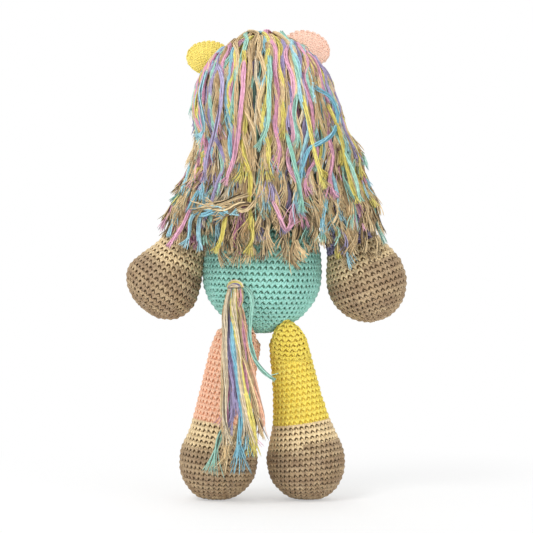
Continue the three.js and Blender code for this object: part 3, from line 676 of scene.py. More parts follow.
def make_muzzle():
    """An oval cup from its tip back into the head, with stitches down to a little below the head's skin."""
    spine = Spine([muzzle_tip, muzzle_tip - MUZZLE_DEPTH * muzzle_ahead], (1, 0, 0))
    profile = [(s * MUZZLE_DEPTH, r * MUZZLE_RADIUS) for s, r in MUZZLE_SHARES]
    skin = Skin(spine, profile, 1, MUZZLE_TALL_SHARE)

    def outside_head(points):
        """True further from the head's centre than its radius less 1.5 mm."""
        return np.linalg.norm(points - head_centre, axis=1) > HEAD_RADIUS - 1.5 * MM

    piece = crochet("muzzle", skin, "muzzle", GAUGE, 0.5, 0.3, -1, outside_head)
    finish_piece(piece, "head", ["muzzle_shell"])


EAR_RADIUS = 12 * MM
EAR_THICK_SHARE = 0.27
EAR_FORWARD = 9 * MM
EAR_SHARES = [
    (-0.04, 0.0), (0.0, 0.5), (0.08, 0.74), (0.28, 0.95), (0.48, 1), (0.68, 0.93), (0.85, 0.7), (0.95, 0.4),
    (1, 0),
]
# Each ear's yarn and slot, and its route from the head's centre in shares of the head's radius, as (x, z)
EARS = {
    "left": ("pale_yellow", "yellow_yarn", ((0.59, 0.74), (0.9, 0.88), (1.2, 0.71))),
    "right": ("pale_peach", "peach_yarn", ((-0.36, 0.92), (-0.68, 1.09), (-0.97, 0.75))),
}


def make_ear(side):
    """A flat oval of fine, shallow stitches along a bent spine."""
    colour, slot, route = EARS[side]
    points = [head_centre + (x * HEAD_RADIUS, -EAR_FORWARD, z * HEAD_RADIUS) for x, z in route]
    spine = Spine(bezier(points), FRONT_BACK)
    skin = Skin(spine, [(s * spine.length, r * EAR_RADIUS) for s, r in EAR_SHARES], EAR_THICK_SHARE, 1)
    mesh = Mesh()
    add_under_skin(mesh, skin, 0, skin.length, 0.05 * MM, 0.25, step=2 * MM, shade=0.92)
    add_stitches(mesh, skin, 0, skin.length, EAR_GAUGE, 0.15, relief=0.2)
    finish_piece(mesh.make(f"crocheted_ear_{side}", YARN[colour]), "head", [f"ear_{side}"])


# A limb's sizes: the radius of its sewn end and its largest one, the hoof's length, where its spine bends,
# and the length that its shares are of. Shares count from the hoof's end.
ARM = {"ball": 9.5 * MM, "radius": 28.1 * MM, "leave": 11 * MM, "hoof": 57 * MM, "bend": 0.58}
ARM_SHARES = {
    "left": [
        (0, 0), (0.012, 0.31), (0.035, 0.53), (0.08, 0.755), (0.13, 0.885), (0.18, 0.945), (0.23, 0.95),
        (0.28, 0.915), (0.35, 0.83), (0.43, 0.71), (0.52, 0.6), (0.65, 0.5), (0.82, 0.42),
    ],
    "right": [
        (0, 0), (0.012, 0.29), (0.04, 0.52), (0.09, 0.74), (0.155, 0.9), (0.21, 0.975), (0.27, 1),
        (0.33, 0.98), (0.4, 0.9), (0.48, 0.76), (0.56, 0.64), (0.7, 0.5), (0.85, 0.41),
    ],
}
# Where each arm's hoof ends, from the middle and above the floor in mm, and its tilt outwards in degrees
ARM_TIPS = {"left": (86.8, 137.2, 40), "right": (84, 129.7, 19)}
ARM_COLOURS = {"left": "pink", "right": "lilac"}
LEG = {"ball": 13.5 * MM, "radius": 27.6 * MM, "hoof": 56 * MM, "bend": 0.3, "reach": 110.5 * MM}
LEG_COLOURS = {"left": "peach", "right": "yellow"}
LEG_STANCES = {"left": 34.4 * MM, "right": 31.8 * MM}
LEG_SHARES = [
    (0, 0), (0.0018, 0.16), (0.0046, 0.27), (0.014, 0.43), (0.038, 0.6), (0.07, 0.735), (0.11, 0.86),
    (0.17, 0.965), (0.24, 1), (0.31, 0.985), (0.37, 0.91), (0.43, 0.83),
]
LEG_TOPS = {
    "left": [(0.52, 0.765), (0.66, 0.7), (0.82, 0.655), (0.95, 0.635), (1.02, 0.61)],
    "right": [(0.52, 0.725), (0.66, 0.625), (0.84, 0.55)],
}
# Where each leg's top lies, inwards of the hip's centre and above it, and where it turns down, in mm
LEG_BENDS = {"left": ((1.8, 7), (-5, -11)), "right": ((2.2, 0.5),)}
# The left leg's flatter top, in shares of the sewn end's radius
LEG_CROWNS = {"left": [(-0.32, 0), (-0.29, 0.6), (-0.19, 0.97), (0, 1.16)], "right": None}
# An arm's and a leg's upper part: its name, its gauge, and how deep the cloth lies behind it
UPPERS = {"arm": ("sleeve", GAUGE, SKIN_INSET), "leg": ("upper", LEG_GAUGE, 0.7 * MM)}
YARN_LAP = 1 * MM
BEZIER_POINTS = 40


def bezier(controls):
    """A Bezier curve's points: the controls weighted by the binomial terms of the share along it."""
    controls = np.asarray(controls, float)
    degree = len(controls) - 1
    share = np.linspace(0, 1, BEZIER_POINTS)[:, None]
    return sum(math.comb(degree, k) * share**k * (1 - share) ** (degree - k) * control
               for k, control in enumerate(controls))


def limb_skin(points, shares, sizes, top=None):
    """A limb's skin: the sewn end, which is a quarter ball unless top gives its shares, and then the
    profile."""
    spine = Spine(points, FRONT_BACK)
    reach = sizes.get("reach", spine.length)
    outline = [(spine.length - s * reach, r * sizes["radius"]) for s, r in shares][::-1]
    ball = [(-s, r) for s, r in arc(sizes["ball"], [0, 30, 60, 85])]
    if top:
        ball = [(s * sizes["ball"], r * sizes["ball"]) for s, r in top]
    return Skin(spine, ball + outline)


def faded(row, u):
    """The hoof's yarn changes shade along its length: light rounds near the change, then darker ones."""
    dark = np.clip((row + u / TURN - 4.2) / 1.4, 0, 1)
    return 0.1 + 0.78 * dark + 0.1 * np.sin(1.9 * row + u)


def make_limb(limb, skin, sizes, colour, floor=None):
    """An upper part and a hoof, worked in one go from the hoof's end, with a change of yarn between them."""
    upper_name, gauge, inset = UPPERS[limb[:3]]
    change = float(np.interp(skin.spine.length - sizes["hoof"], skin.outline[:, 0], skin.v))
    upper = Mesh()
    add_under_skin(upper, skin, 0, change + YARN_LAP, inset, 0.6)
    add_stitches(upper, skin, 0, change, gauge, 0.3, -1)
    name = f"{limb}_{upper_name}"
    finish_piece(upper.make(f"crocheted_{name}", YARN[colour]), limb, [name])
    hoof = Mesh()
    add_under_skin(hoof, skin, change - YARN_LAP, skin.length, SKIN_INSET, 0.7)
    add_stitches(hoof, skin, change, skin.length, gauge, faded, -1)
    name = f"{limb}_hoof"
    finish_piece(hoof.make(f"crocheted_{name}", YARN["hoof"], floor), limb, [name])


def make_arm(side):
    """An arm along a Bezier curve that leaves the shoulder sideways and comes to its tip at its tilt."""
    shoulder = joint_place(f"arm_{side}_swing")
    out, tip_height, tilt = ARM_TIPS[side]
    tip = np.array([neck[0] + SIGN[side] * out * MM, neck[1], tip_height * MM])
    turn = math.radians(tilt)
    ahead = np.array([SIGN[side] * math.sin(turn), 0, -math.cos(turn)])
    bend = tip - ARM["bend"] * np.linalg.norm(tip - shoulder) * ahead
    leave = shoulder + (SIGN[side] * ARM["leave"], 0, -0.3 * MM)
    skin = limb_skin(bezier([shoulder, leave, bend, tip]), ARM_SHARES[side], ARM)
    make_limb(f"arm_{side}", skin, ARM, ARM_COLOURS[side])


def make_leg(side):
    """A leg along a Bezier curve from its top to its sole, which the floor presses flat."""
    hip = joint_place(f"leg_{side}_swing")
    sole = np.array([neck[0] + SIGN[side] * LEG_STANCES[side], neck[1], 0])
    bend = np.array([sole[0], sole[1], hip[2] * LEG["bend"]])
    points = [hip + np.array([-SIGN[side] * inward, 0, up]) * MM for inward, up in LEG_BENDS[side]]
    skin = limb_skin(bezier([*points, bend, sole]), LEG_SHARES + LEG_TOPS[side], LEG, LEG_CROWNS[side])
    make_limb(f"leg_{side}", skin, LEG, LEG_COLOURS[side], 0.0)


GUSSET_SHARES = [
    (-0.1, 0), (-0.05, 0.5), (0, 0.8), (0.2, 1), (0.42, 0.98), (0.6, 0.88), (0.75, 0.7), (0.88, 0.42),
    (0.96, 0.18), (1, 0),
]
# The gusset's radius and its ends from the hip's centre, in mm, with x to the outside
GUSSET_RADIUS = 12.8
GUSSET_ENDS = ((0, 6, -10), (-3.8, 20.5, 21))


def make_gusset(side):
    """The top of a leg, drawn to a point and sewn onto the back of the torso."""
    ends = np.array([[SIGN[side] * x, y, z] for x, y, z in GUSSET_ENDS]) * MM
    spine = Spine(joint_place(f"leg_{side}_swing") + ends, (1, 0, 0))
    skin = Skin(spine, [(s * spine.length, r * GUSSET_RADIUS * MM) for s, r in GUSSET_SHARES], 1, 0.6)
    colour = LEG_COLOURS[side]
    piece = crochet(f"hip_gusset_{side}", skin, colour, LEG_GAUGE, 0.6, 0.3, sides=32)
    finish_piece(piece, "torso", [])


SEAM_STRANDS = 12
SEAM_LIFT = 0.9 * MM
SEAM_SWING = 0.3
SEAM_RADII = [0, 0.8 * MM, 0.85 * MM, 0.8 * MM, 0]


def make_seam(name, body, centre, direction, ball, half_angle, colour):
    """Sewing yarn in the joint: short strands on a ball around the joint's centre, which fan out from the
    seam's direction. A point is the direction times the cosine of its angle from it, plus its sine
    sideways, and the way sideways swings round a little as the angle grows."""
    direction = unit(np.asarray(direction, float))
    first = unit(np.cross(direction, FRONT_BACK))
    second = np.cross(direction, first)
    radius = ball + SEAM_LIFT
    spans = np.radians(np.linspace(0.25, 1, len(SEAM_RADII)) * half_angle)
    mix = np.linspace(0, 1, len(spans))[:, None]
    rows = []
    for turn in np.linspace(0, TURN, SEAM_STRANDS, endpoint=False):
        side, swung = (math.cos(way) * first + math.sin(way) * second
                       for way in (turn, turn + SEAM_SWING))
        sideways = unit((1 - mix) * side + mix * swung)
        away = np.cos(spans)[:, None] * direction + np.sin(spans)[:, None] * sideways
        rows.append(centre + radius * away)
    paths = np.array(rows)
    radii = np.broadcast_to(SEAM_RADII, paths.shape[:2])
    mesh = Mesh()
    # The sewing strands' tint, and a shade of 0.8: a little painted shade
    add_tubes(mesh, paths, radii, unit(paths - centre), 6, 0.4, 0.8, 1.15)
    finish_piece(mesh.make(f"sewing_{name}", YARN[colour]), body, [name])


def make_seams():
    """Seams at the neck, upwards, and at the shoulders and hips, towards the middle of each seam's solid."""
    make_seam("neck_seam", "neck", neck, (0, 0, 1), NECK_RADIUS, 52, "mint")
    for side in SIDES:
        for kind, limb, sizes, angle, colours in (
                ("shoulder", "arm", ARM, 36, ARM_COLOURS), ("hip", "leg", LEG, 50, LEG_COLOURS)):
            name = f"{kind}_seam_{side}"
            centre = joint_place(f"{limb}_{side}_swing")
            make_seam(name, f"{kind}_{side}", centre, middle_of(name) - centre, sizes["ball"], angle,
                      colours[side])


EYE_RADIUS = 5.6 * MM
EYE_TALL = 3.8 * MM
EYE_RIM = 0.8 * MM
EYE_SUNK = 0.6 * MM
EYE_BACK = -0.5 * MM
EYE_ASIDE = math.radians(30)
EYE_UP = math.radians(13)
EYE_SIDES = 40


def make_eye(side):
    """A moulded dome on a thin rim: the profile is an ellipse's quarter over a short cylinder."""
    turn = EYE_ASIDE * SIGN[side]
    level = math.cos(EYE_UP)
    ahead = np.array([math.sin(turn) * level, -math.cos(turn) * level, math.sin(EYE_UP)])
    seat = head_centre + (HEAD_RADIUS - EYE_SUNK) * ahead
    across = unit(np.cross(ahead, (0, 0, 1)))
    second = np.cross(ahead, across)
    angles = np.radians(np.linspace(0, 88, 14))
    heights = np.concatenate([[EYE_BACK, EYE_RIM], EYE_RIM + EYE_TALL * np.sin(angles)])
    radii = np.concatenate([[EYE_RADIUS, EYE_RADIUS * 1.02], EYE_RADIUS * np.cos(angles)])
    turns = np.arange(EYE_SIDES) * TURN / EYE_SIDES
    ring = np.cos(turns)[:, None] * across + np.sin(turns)[:, None] * second
    mesh = Mesh()
    add_grid(mesh, seat + heights[:, None, None] * ahead + radii[:, None, None] * ring, 0.0, 1.0)
    finish_piece(mesh.make(f"moulded_eye_{side}", EYE), "head", [f"eye_{side}"])


# A nostril's half length, half the distance between its strands, and how far its ends lie back, in mm
NOSTRIL_HALF, NOSTRIL_APART, NOSTRIL_BOW = 3.4, 0.85, 1.4
NOSTRIL_RADII = np.array([0, 0.8, 0.95, 1, 0.95, 0.8, 0]) * MM


def make_nostril(side):
    """Two short strands of yarn side by side, bowed over the front of the muzzle: an end lies back by the
    square of its share of the half length."""
    centre = middle_of(f"nostril_{side}")
    outward = unit(centre - (muzzle_tip - 0.75 * MUZZLE_DEPTH * muzzle_ahead))
    along = unit(np.cross(outward, np.cross((SIGN[side] * 1.0, 0, -0.75), outward)))
    second = np.cross(outward, along)
    share = np.linspace(-1, 1, len(NOSTRIL_RADII))[:, None]
    paths = np.array([
        centre + share * NOSTRIL_HALF * MM * along + place * NOSTRIL_APART * MM * second
        - share**2 * NOSTRIL_BOW * MM * outward
        for place in (-1, 1)])
    radii = np.broadcast_to(NOSTRIL_RADII, paths.shape[:2])
    mesh = Mesh()
    add_tubes(mesh, paths, radii, np.broadcast_to(outward, paths.shape), 8, 0.4, 0.95)
    finish_piece(mesh.make(f"sewn_nostril_{side}", YARN["brown"]), "head", [f"nostril_{side}"])


# How far a thread parts at a cut end, in mm, how far a ply does, and how unevenly both are lit and tinted,
# as the spread of each chance
PARTING = (1.6, 4.4)
THREAD_TINT = 0.16
THREAD_LIGHT = 0.3
PLY_POINTS = 9
PLY_REACH = 1.1 * MM
PLY_TINT = 0.15
PLY_LIGHT = 0.38
PLY_TAPER = np.array([0, 1, 1, 1, 1, 0.95, 0.9, 0.8, 0])


def strand(mesh, path, tint, away, fray=0.0, loose=1.0, lit=0.94, bulk=1.0):
    """Soft yarn along a path: a flat bundle of threads side by side, which turns slowly about the path. A
    thread's place across the bundle is the cosine and the sine of its turn, plus its own sines, and over
    the last stretch, the fray, the threads part by the power 1.5 of the way. away is the direction that the
    bundle lies out in, at each point of the path or as one for all, loose scales how far the threads part,
    lit is the painted shade, low for yarn that lies deep under the rest, with painted light that grows
    towards the end, and bulk scales the bundle."""
    length = np.sum(np.linalg.norm(np.diff(path, axis=0), axis=1))
    count = max(int(length / THREAD_STEP), 9)
    line = smooth(path, count)
    along = np.linspace(0, length, count)
    whole = np.linspace(0, 1, count)
    tangent = unit(np.gradient(line, axis=0))
    facing = away(line) if callable(away) else np.broadcast_to(away, line.shape)
    side = unit(np.cross(tangent, facing))
    rise = np.cross(side, tangent)
    parted = np.clip(1 - (length - along) / fray, 0, 1) if fray else np.zeros(count)
    apart = parted**1.5
    taper = np.concatenate([[0.0, 0.8], np.ones(count - 3), [0.0]])
    start = random.uniform(0, TURN)
    paths, radii = [], []
    for thread in range(THREADS):
        angle = TURN * (along / BUNDLE_TWIST + thread / THREADS) + start
        spread = random.normal(0, 1, 2) * random.uniform(*PARTING) * MM * loose
        wide = bulk * BUNDLE_WIDE * np.cos(angle) + wavy(along, 0.3 * MM, (31 * MM, 17 * MM))
        deep = bulk * BUNDLE_DEEP * np.sin(angle) + wavy(along, 0.2 * MM, (23 * MM,))
        wide, deep = wide + apart * spread[0], deep + apart * 0.6 * spread[1]
        route = line + wide[:, None] * side + deep[:, None] * rise
        cut = 1 - random.uniform(0, 0.5) * fray / length
        route = sampled(whole * cut, whole, route)
        route[-1] = 0.75 * route[-2] + 0.25 * route[-1]
        paths.append(route)
        radii.append(bulk * THREAD_RADIUS * random.uniform(0.85, 1.12) * (1 - 0.4 * parted) * taper)
    paths, radii = np.array(paths), np.array(radii)
    tints = np.clip(tint + random.normal(0, THREAD_TINT, THREADS), 0, 1)[:, None]
    bright = max(random.uniform(0.3, 1.25), lit)
    # Painted shade: lit at the root, painted lighter towards the end, and uneven from thread to thread
    light = lit + (bright - lit) * (along / length) ** 3 + random.normal(0, THREAD_LIGHT, THREADS)[:, None]
    add_tubes(mesh, paths, radii, np.broadcast_to(rise, paths.shape), 4, tints, np.clip(light, 0, 1))
    if fray:
        add_brush(mesh, line, side[-1], rise[-1], length - fray, length, tint, bright, loose)


def add_brush(mesh, line, side, rise, start, end, tint, bright, loose):
    """Fine plies that part at a cut end: each leaves the bundle's line sideways by a share of its own reach
    that grows as the power 1.6 of its way, and curls on it."""
    share = np.linspace(0, 1, PLY_POINTS)
    inner = sampled(start + share * (end - start), np.linspace(0, end, len(line)), line)
    paths = []
    for _ in range(BRUSH_THREADS):
        reach = random.normal(0, 1, 2) * (PLY_REACH + 0.12 * (end - start)) * loose
        curl = random.normal(0, 0.5, 2) * MM
        bow = np.sin(share * random.uniform(3, 7))[:, None] * share[:, None]
        swing = share[:, None] ** 1.6
        paths.append(inner + (swing * reach[0] + bow * curl[0]) * side
                     + (0.5 * swing * np.abs(reach[1]) + bow * curl[1]) * rise)
    paths = np.array(paths)
    radii = np.broadcast_to(BRUSH_RADIUS * PLY_TAPER, paths.shape[:2])
    # The plies' painted light, around the strand's bright end
    light = np.clip(bright + random.normal(0, PLY_LIGHT, BRUSH_THREADS), 0, 1.15)[:, None]
    tints = np.clip(tint - 0.25 + random.normal(0, PLY_TINT, BRUSH_THREADS), 0, 1)[:, None]
    add_tubes(mesh, paths, radii, np.broadcast_to(rise, paths.shape), 3, tints, light)


# The mane's bell around the head's centre: over the crown as a ball, then a fall. The tables give how far the
# fall stands out at the left, at the right and at the back, in mm by its share.
BELL_RADIUS = HEAD_RADIUS + 2.4 * MM
BELL_LEFT = [
    (0, 0), (0.11, -2.5), (0.22, 0), (0.32, 6), (0.43, 15), (0.53, 21), (0.64, 29), (0.74, 33), (1, 39),
]
BELL_RIGHT = [
    (0, 4), (0.11, 8.5), (0.22, 18), (0.32, 26), (0.43, 32.5), (0.53, 37), (0.64, 42.5), (0.84, 46), (1, 48),
]
BELL_BACK = [(0, 0), (0.2, -1), (0.4, -3), (0.6, -5), (0.8, -5.5), (1, -5.5)]
BELL_FALL = 104 * MM
BELL_TURN = math.radians(96)
BELL_LENGTH = BELL_TURN * BELL_RADIUS
# How much of the azimuth is left low down, and by which share of the fall it is drawn in
GATHER = 0.62
GATHERED = 0.45
# The hoops' share in the crown's directions, and how much thinner the layers are at the sides
CROWN_SPREAD = 0.6
SIDE_THIN = 0.62


def bell_spread(fallen, left):
    """How far the fall stands out at the sides and at the back, for a share of it and for each side."""
    side = np.where(left, np.interp(fallen, *zip(*BELL_LEFT)), np.interp(fallen, *zip(*BELL_RIGHT)))
    return side * MM, np.interp(fallen, *zip(*BELL_BACK)) * MM


def crown(angle, around):
    """The direction from the head's centre at an angle down from the crown: a mix of meridians, which all
    start at the crown's top, and of hoops, which start side by side on a line from ear to ear. The two meet
    at the head's widest level."""
    hoop_angle = np.minimum(angle, math.pi / 2)
    meridian = np.stack([np.sin(angle) * np.sin(around), np.sin(angle) * np.cos(around),
                         np.cos(angle)], axis=-1)
    hoop = np.stack([np.sin(around), np.cos(around) * np.sin(hoop_angle),
                     np.abs(np.cos(around)) * np.cos(hoop_angle)], axis=-1)
    share = CROWN_SPREAD * (angle < math.pi / 2)[..., None]
    return unit((1 - share) * meridian + share * hoop)


def bell(distance, around, outward):
    """The mane's surface. A distance down from the crown goes over the ball, at an angle of the distance over
    the radius, until a little below its middle, and then straight down. around is the azimuth from the back,
    to the left, drawn in towards the back on the way down by a smooth step. outward is the layer's height,
    which is less at the sides."""
    radius = BELL_RADIUS + outward * (1 - SIDE_THIN * np.abs(np.sin(around)))
    angle = np.minimum(distance / BELL_RADIUS, BELL_TURN)
    fallen = np.clip((distance - BELL_LENGTH) / BELL_FALL, 0, 1.3)
    side, back = bell_spread(fallen, around > 0)
    side = side * np.clip(3 * angle / BELL_TURN - 2, 0, 1)
    share = np.clip(fallen / GATHERED, 0, 1)
    drawn = around * (1 - (1 - GATHER) * share**2 * (3 - 2 * share))
    fall = np.stack([side * np.sin(drawn), back * np.cos(drawn), -fallen * BELL_FALL], axis=-1)
    return head_centre + radius[..., None] * crown(angle, drawn) + fall


def on_mane(points, outward):
    """Places on the mane's surface above given (x, z) in mm: an oval section as wide and deep as the bell."""
    x, z = np.array(points, float).T * MM
    x, z = x - head_centre[0], z - head_centre[2]
    side, back = bell_spread(np.clip(-z / BELL_FALL, 0, 1), x > 0)
    radius = np.sqrt(np.maximum((BELL_RADIUS + outward) ** 2 - np.maximum(z, 0) ** 2, 0))
    depth = np.sqrt(np.clip(1 - (x / (radius + side)) ** 2, 0.02, 1)) * (radius + back)
    return head_centre + np.stack([x, depth, z], axis=-1)


def wavy(distance, amplitude, wavelengths):
    """A sum of sines, one for each wavelength, each with its own random phase and its share of the
    amplitude."""
    total = np.zeros(len(distance))
    for wavelength in wavelengths:
        total += amplitude / len(wavelengths) * random.uniform(0.6, 1.4) * np.sin(
            TURN * distance / wavelength + random.uniform(0, TURN))
    return total


def from_head(points):
    """The direction away from the head's upright axis at each point, also a little upwards."""
    away = points - head_centre
    away[:, 2] = np.maximum(away[:, 2], 0)
    return unit(away)


# Each colour's share of the strands, in the upper rows and in the deep ones
MANE_MIX = {
    "tan": 0.4, "aqua": 0.14, "mint": 0.1, "pink": 0.11, "lilac": 0.09, "yellow": 0.08, "cream": 0.08,
}
DEEP_MIX = {
    "tan": 0.7, "aqua": 0.07, "mint": 0.05, "pink": 0.07, "lilac": 0.04, "yellow": 0.05, "cream": 0.02,
}
# How far down from the crown the deep rows start, in mm
DEEP_START = 20
MANE_NODES = {
    "tan": ["mane_crest", "mane_lock_1", "mane_lock_4", "mane_lock_7", "mane_lock_10", "mane_lock_12"],
    "aqua": ["mane_lock_3", "mane_lock_11"], "mint": ["mane_lock_2"], "pink": ["mane_lock_9"],
    "lilac": ["mane_lock_6"], "yellow": ["mane_lock_8"], "cream": ["mane_lock_5", "mane_lock_13"],
}
FORELOCK_NODES = {
    "tan": ["forelock_1", "forelock_3"], "cream": ["forelock_2"], "pink": ["forelock_4"],
    "aqua": ["forelock_5"],
}
# Rows where yarn is hooked in, in mm: distance down from the crown, number of strands, the layer's height,
# the strands' shortest and longest reach down from the crown, and how much light their painted shade leaves
# them
MANE_ROWS = [
    (-5, 58, 7.2, 78, 150, 1.05), (4, 54, 6.2, 96, 172, 0.92), (22, 54, 5.0, 120, 182, 0.58),
    (38, 50, 3.9, 138, 188, 0.32), (54, 48, 2.7, 148, 192, 0.18), (70, 46, 1.6, 156, 194, 0.1),
]
MANE_SPREAD = math.radians(98)
SIDE_SHORTER = 18 * MM

# Single strands that lie over the rest, each by its colour and the (x, z) of its route in mm
LONE_STRANDS = [
    ("aqua", [(-36, 297), (-45, 288), (-50, 276), (-47, 263), (-38, 256), (-30, 252), (-26, 242),
              (-25, 231)]),
    ("pink", [(16, 327), (16, 305), (17, 288), (20, 262), (23, 244), (30, 226)]),
    ("yellow", [(-27, 291), (-30, 268), (-35, 244), (-41, 223)]),
    ("mint", [(-3, 321), (-2, 296), (-1, 270), (4, 258), (9, 252)]),
    ("mint", [(-15, 262), (-19, 243), (-23, 225), (-25, 206)]),
    ("aqua", [(45, 311), (47, 290), (44, 268), (46, 262), (50, 258)]),
    ("lilac", [(36, 314), (31, 295), (35, 268), (42, 245), (44, 228)]),
    ("yellow", [(-46, 285), (-52, 262), (-56, 240), (-64, 213)]),
    ("mint", [(-50, 268), (-56, 248), (-63, 230), (-66, 214)]),
    ("aqua", [(51, 207), (44, 210), (34, 211), (26, 207), (20, 209)]),
    ("tan", [(10, 208), (20, 213), (30, 209), (42, 211), (52, 206)]),
    ("tan", [(6, 212), (16, 208), (26, 213), (38, 208)]),
    ("tan", [(11, 215), (20, 218), (31, 214), (43, 213)]),
    ("tan", [(8, 207), (17, 213), (28, 206), (38, 202)]),
    ("aqua", [(55, 206), (46, 205), (37, 208), (29, 204)]),
    ("aqua", [(46, 209), (53, 203), (54, 192), (58, 182)]),
    ("pink", [(57, 205), (60, 196), (66, 188), (69, 182)]),
    ("pink", [(-4, 213), (-10, 202), (-14, 194), (-20, 204)]),
    ("yellow", [(30, 204), (31, 192), (36, 178)]),
    ("yellow", [(12, 200), (10, 190), (14, 177)]),
    ("aqua", [(50, 203), (48, 192), (45, 180)]),
]
LONE_HEIGHT = 10.8 * MM
MANE_POINTS = 26
ROOT_RISE = 9 * MM
ROOT_SUNK = 1.5 * MM


def mane_path(start, around, layer, end):
    """One strand: it rises out of the head to its layer in its first stretch, and follows the bell down
    with a slow sideways wander that grows on the way."""
    distance = np.linspace(start, end, MANE_POINTS)
    rise = np.clip((distance - start) / ROOT_RISE, 0, 1) ** 0.7
    fallen = np.clip((distance - BELL_LENGTH) / BELL_FALL, 0, 1)
    outward = layer * rise - ROOT_SUNK * (1 - rise) + wavy(distance, 1.3 * MM, (41 * MM, 23 * MM))
    outward += fallen**2 * np.abs(wavy(distance, 3 * MM, (48 * MM,)))
    sway = wavy(distance, (2.8 + 4.4 * fallen) * MM, (115 * MM, 64 * MM, 36 * MM)) * rise
    sway += np.clip((distance - start) / (end - start), 0, 1) ** 3 * random.normal(0, 3) * MM
    width = np.maximum(BELL_RADIUS * np.sin(np.minimum(distance / BELL_RADIUS, BELL_TURN)), 12 * MM)
    return bell(distance, around + sway / width, np.maximum(outward, -0.5 * MM))


def deal_colours(mix, number):
    """Colours for a row of strands in the mix's shares, with like colours kept apart: each strand's place
    in the mix is the one before it plus the golden ratio."""
    places = (random.uniform() + np.arange(number) * (math.sqrt(5) - 1) / 2) % 1
    edges = np.cumsum(list(mix.values()))
    return [list(mix)[index] for index in np.searchsorted(edges / edges[-1], places)]


def pick_tint():
    """A strand's own shade, by chance."""
    return np.clip(random.normal(0.35, 0.25), 0, 1)


def tan_part(place):
    """Which of the three tan pieces a strand belongs to, from its place between -1 and 1 across the head."""
    if place > 0.33:
        return "_left"
    return "_right" if place < -0.33 else "_middle"


def make_mane():
    """The strands by piece: one piece for each colour, and three for the tan ones, by where they lie."""
    meshes = {}
    for start, number, height, shortest, longest, lit in MANE_ROWS:
        places = (np.arange(number) + 0.5) / number * 2 - 1 + random.normal(0, 0.35 / number, number)
        colours = deal_colours(MANE_MIX if start < DEEP_START else DEEP_MIX, number)
        for place, reach, colour in zip(places, random.beta(1.6, 1.3, number), colours):
            end = (shortest + (longest - shortest) * reach) * MM - SIDE_SHORTER * place**4
            layer = (height + random.normal(0, 1.4)) * MM
            path = mane_path((start + random.uniform(0, 5)) * MM, place * MANE_SPREAD, layer, end)
            name = f"mane_{colour}{tan_part(place) if colour == 'tan' else ''}"
            strand(meshes.setdefault(name, Mesh()), path, pick_tint(), from_head,
                   random.uniform(11, 30) * MM, lit=lit)
    for colour, route in LONE_STRANDS:
        name = "mane_tan_middle" if colour == "tan" else f"mane_{colour}"
        path = on_mane(route, LONE_HEIGHT + random.uniform(-1, 1) * MM)
        path[0] = head_centre + (path[0] - head_centre) * 0.93
        # Lone tan strands get deeper painted shade than the others
        strand(meshes[name], path, pick_tint(), from_head, random.uniform(8, 14) * MM,
               lit=0.55 if colour == "tan" else 0.94)
    return meshes


# The forelock's rows: the number of strands, their layer's height in mm, and their share of the full length
FORELOCK_ROWS = ((13, 5.5, 1.0), (11, 3.0, 0.92))
FORELOCK_BACK = 3 * MM
FORELOCK_SPREAD = math.radians(52)
FORELOCK_POINTS = 16


def make_forelock():
    """Shorter strands that fall forward from the crest over the forehead, between the ears. A point is the
    crown's direction at the angle of the distance over the bell's radius, times that radius plus the
    layer's height."""
    meshes = {}
    for number, layer, reach in FORELOCK_ROWS:
        places = (np.arange(number) + 0.5) / number * 2 - 1
        for place, colour in zip(places, deal_colours(MANE_MIX, number)):
            end = (38 + 12 * (1 - place**2)) * MM * reach * random.uniform(0.85, 1.12)
            distance = np.linspace(-FORELOCK_BACK, end, FORELOCK_POINTS)
            rise = np.clip((distance + FORELOCK_BACK) / ROOT_RISE, 0, 1)
            radius = BELL_RADIUS + layer * MM * rise + wavy(distance, 0.8 * MM, (24 * MM,))
            angle = distance / BELL_RADIUS
            width = np.maximum(BELL_RADIUS * np.sin(angle), 10 * MM)
            turn = math.pi + place * FORELOCK_SPREAD + wavy(distance, 1.8 * MM, (44 * MM, 24 * MM)) / width
            path = head_centre + radius[:, None] * crown(angle, turn)
            strand(meshes.setdefault(colour, Mesh()), path, pick_tint(), from_head,
                   random.uniform(5, 9) * MM, 0.7)
    for colour, mesh in meshes.items():
        finish_piece(mesh.make(f"forelock_{colour}", LOOSE[colour]), "head",
                     FORELOCK_NODES.get(colour, []))


def finish_mane(meshes):
    """Each piece of the mane as an object, with its place baked into its points, and the solids of each
    colour hidden once. Its lower ends lie on the back.
    """
    taken = set()
    for name, mesh in meshes.items():
        colour = name.split("_")[1]
        piece = mesh.make(name, LOOSE[colour])
        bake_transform(piece)
        if colour not in taken:
            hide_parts(*MANE_NODES[colour])
            taken.add(colour)


# The tail's strands from left to right: the colour, how far they hang from the middle of the knot at 42, 92
# and 128 mm below it, to the left, and how far below it they end, all in mm
TAIL_STRANDS = [
    ("tan", 8, 8.5, 5, 122), ("mint", 4.5, 5.5, 20, 132), ("cream", 5, 4.5, 0, 112),
    ("lilac", 3.5, 2, 9, 104), ("lilac", 1.5, -1, -3, 92), ("aqua", -0.5, -5, -5, 132),
    ("aqua", -1, -7.5, -10, 120),
    ("yellow", -3, -11, -16, 118), ("cream", -3.5, -10, -12, 112), ("yellow", -2, -13, -17, 120),
    ("pink", -6.5, -9.5, -19, 114), ("tan", -6, -16, -19, 108), ("peach", -9.5, -19, -15, 104),
    ("tan", -9, -15, 1, 128), ("mint", -7, -9, -8, 100), ("pink", 3, 7, 18, 100), ("tan", 0, -4, 10, 130),
]
# How far each colour's strands lie out from the torso, in mm
TAIL_DEPTHS = {
    "cream": 4.4, "yellow": 4.0, "aqua": 3.2, "lilac": 2.2, "pink": 1.4, "peach": 1.2, "tan": 0.8,
    "mint": 0.2,
}
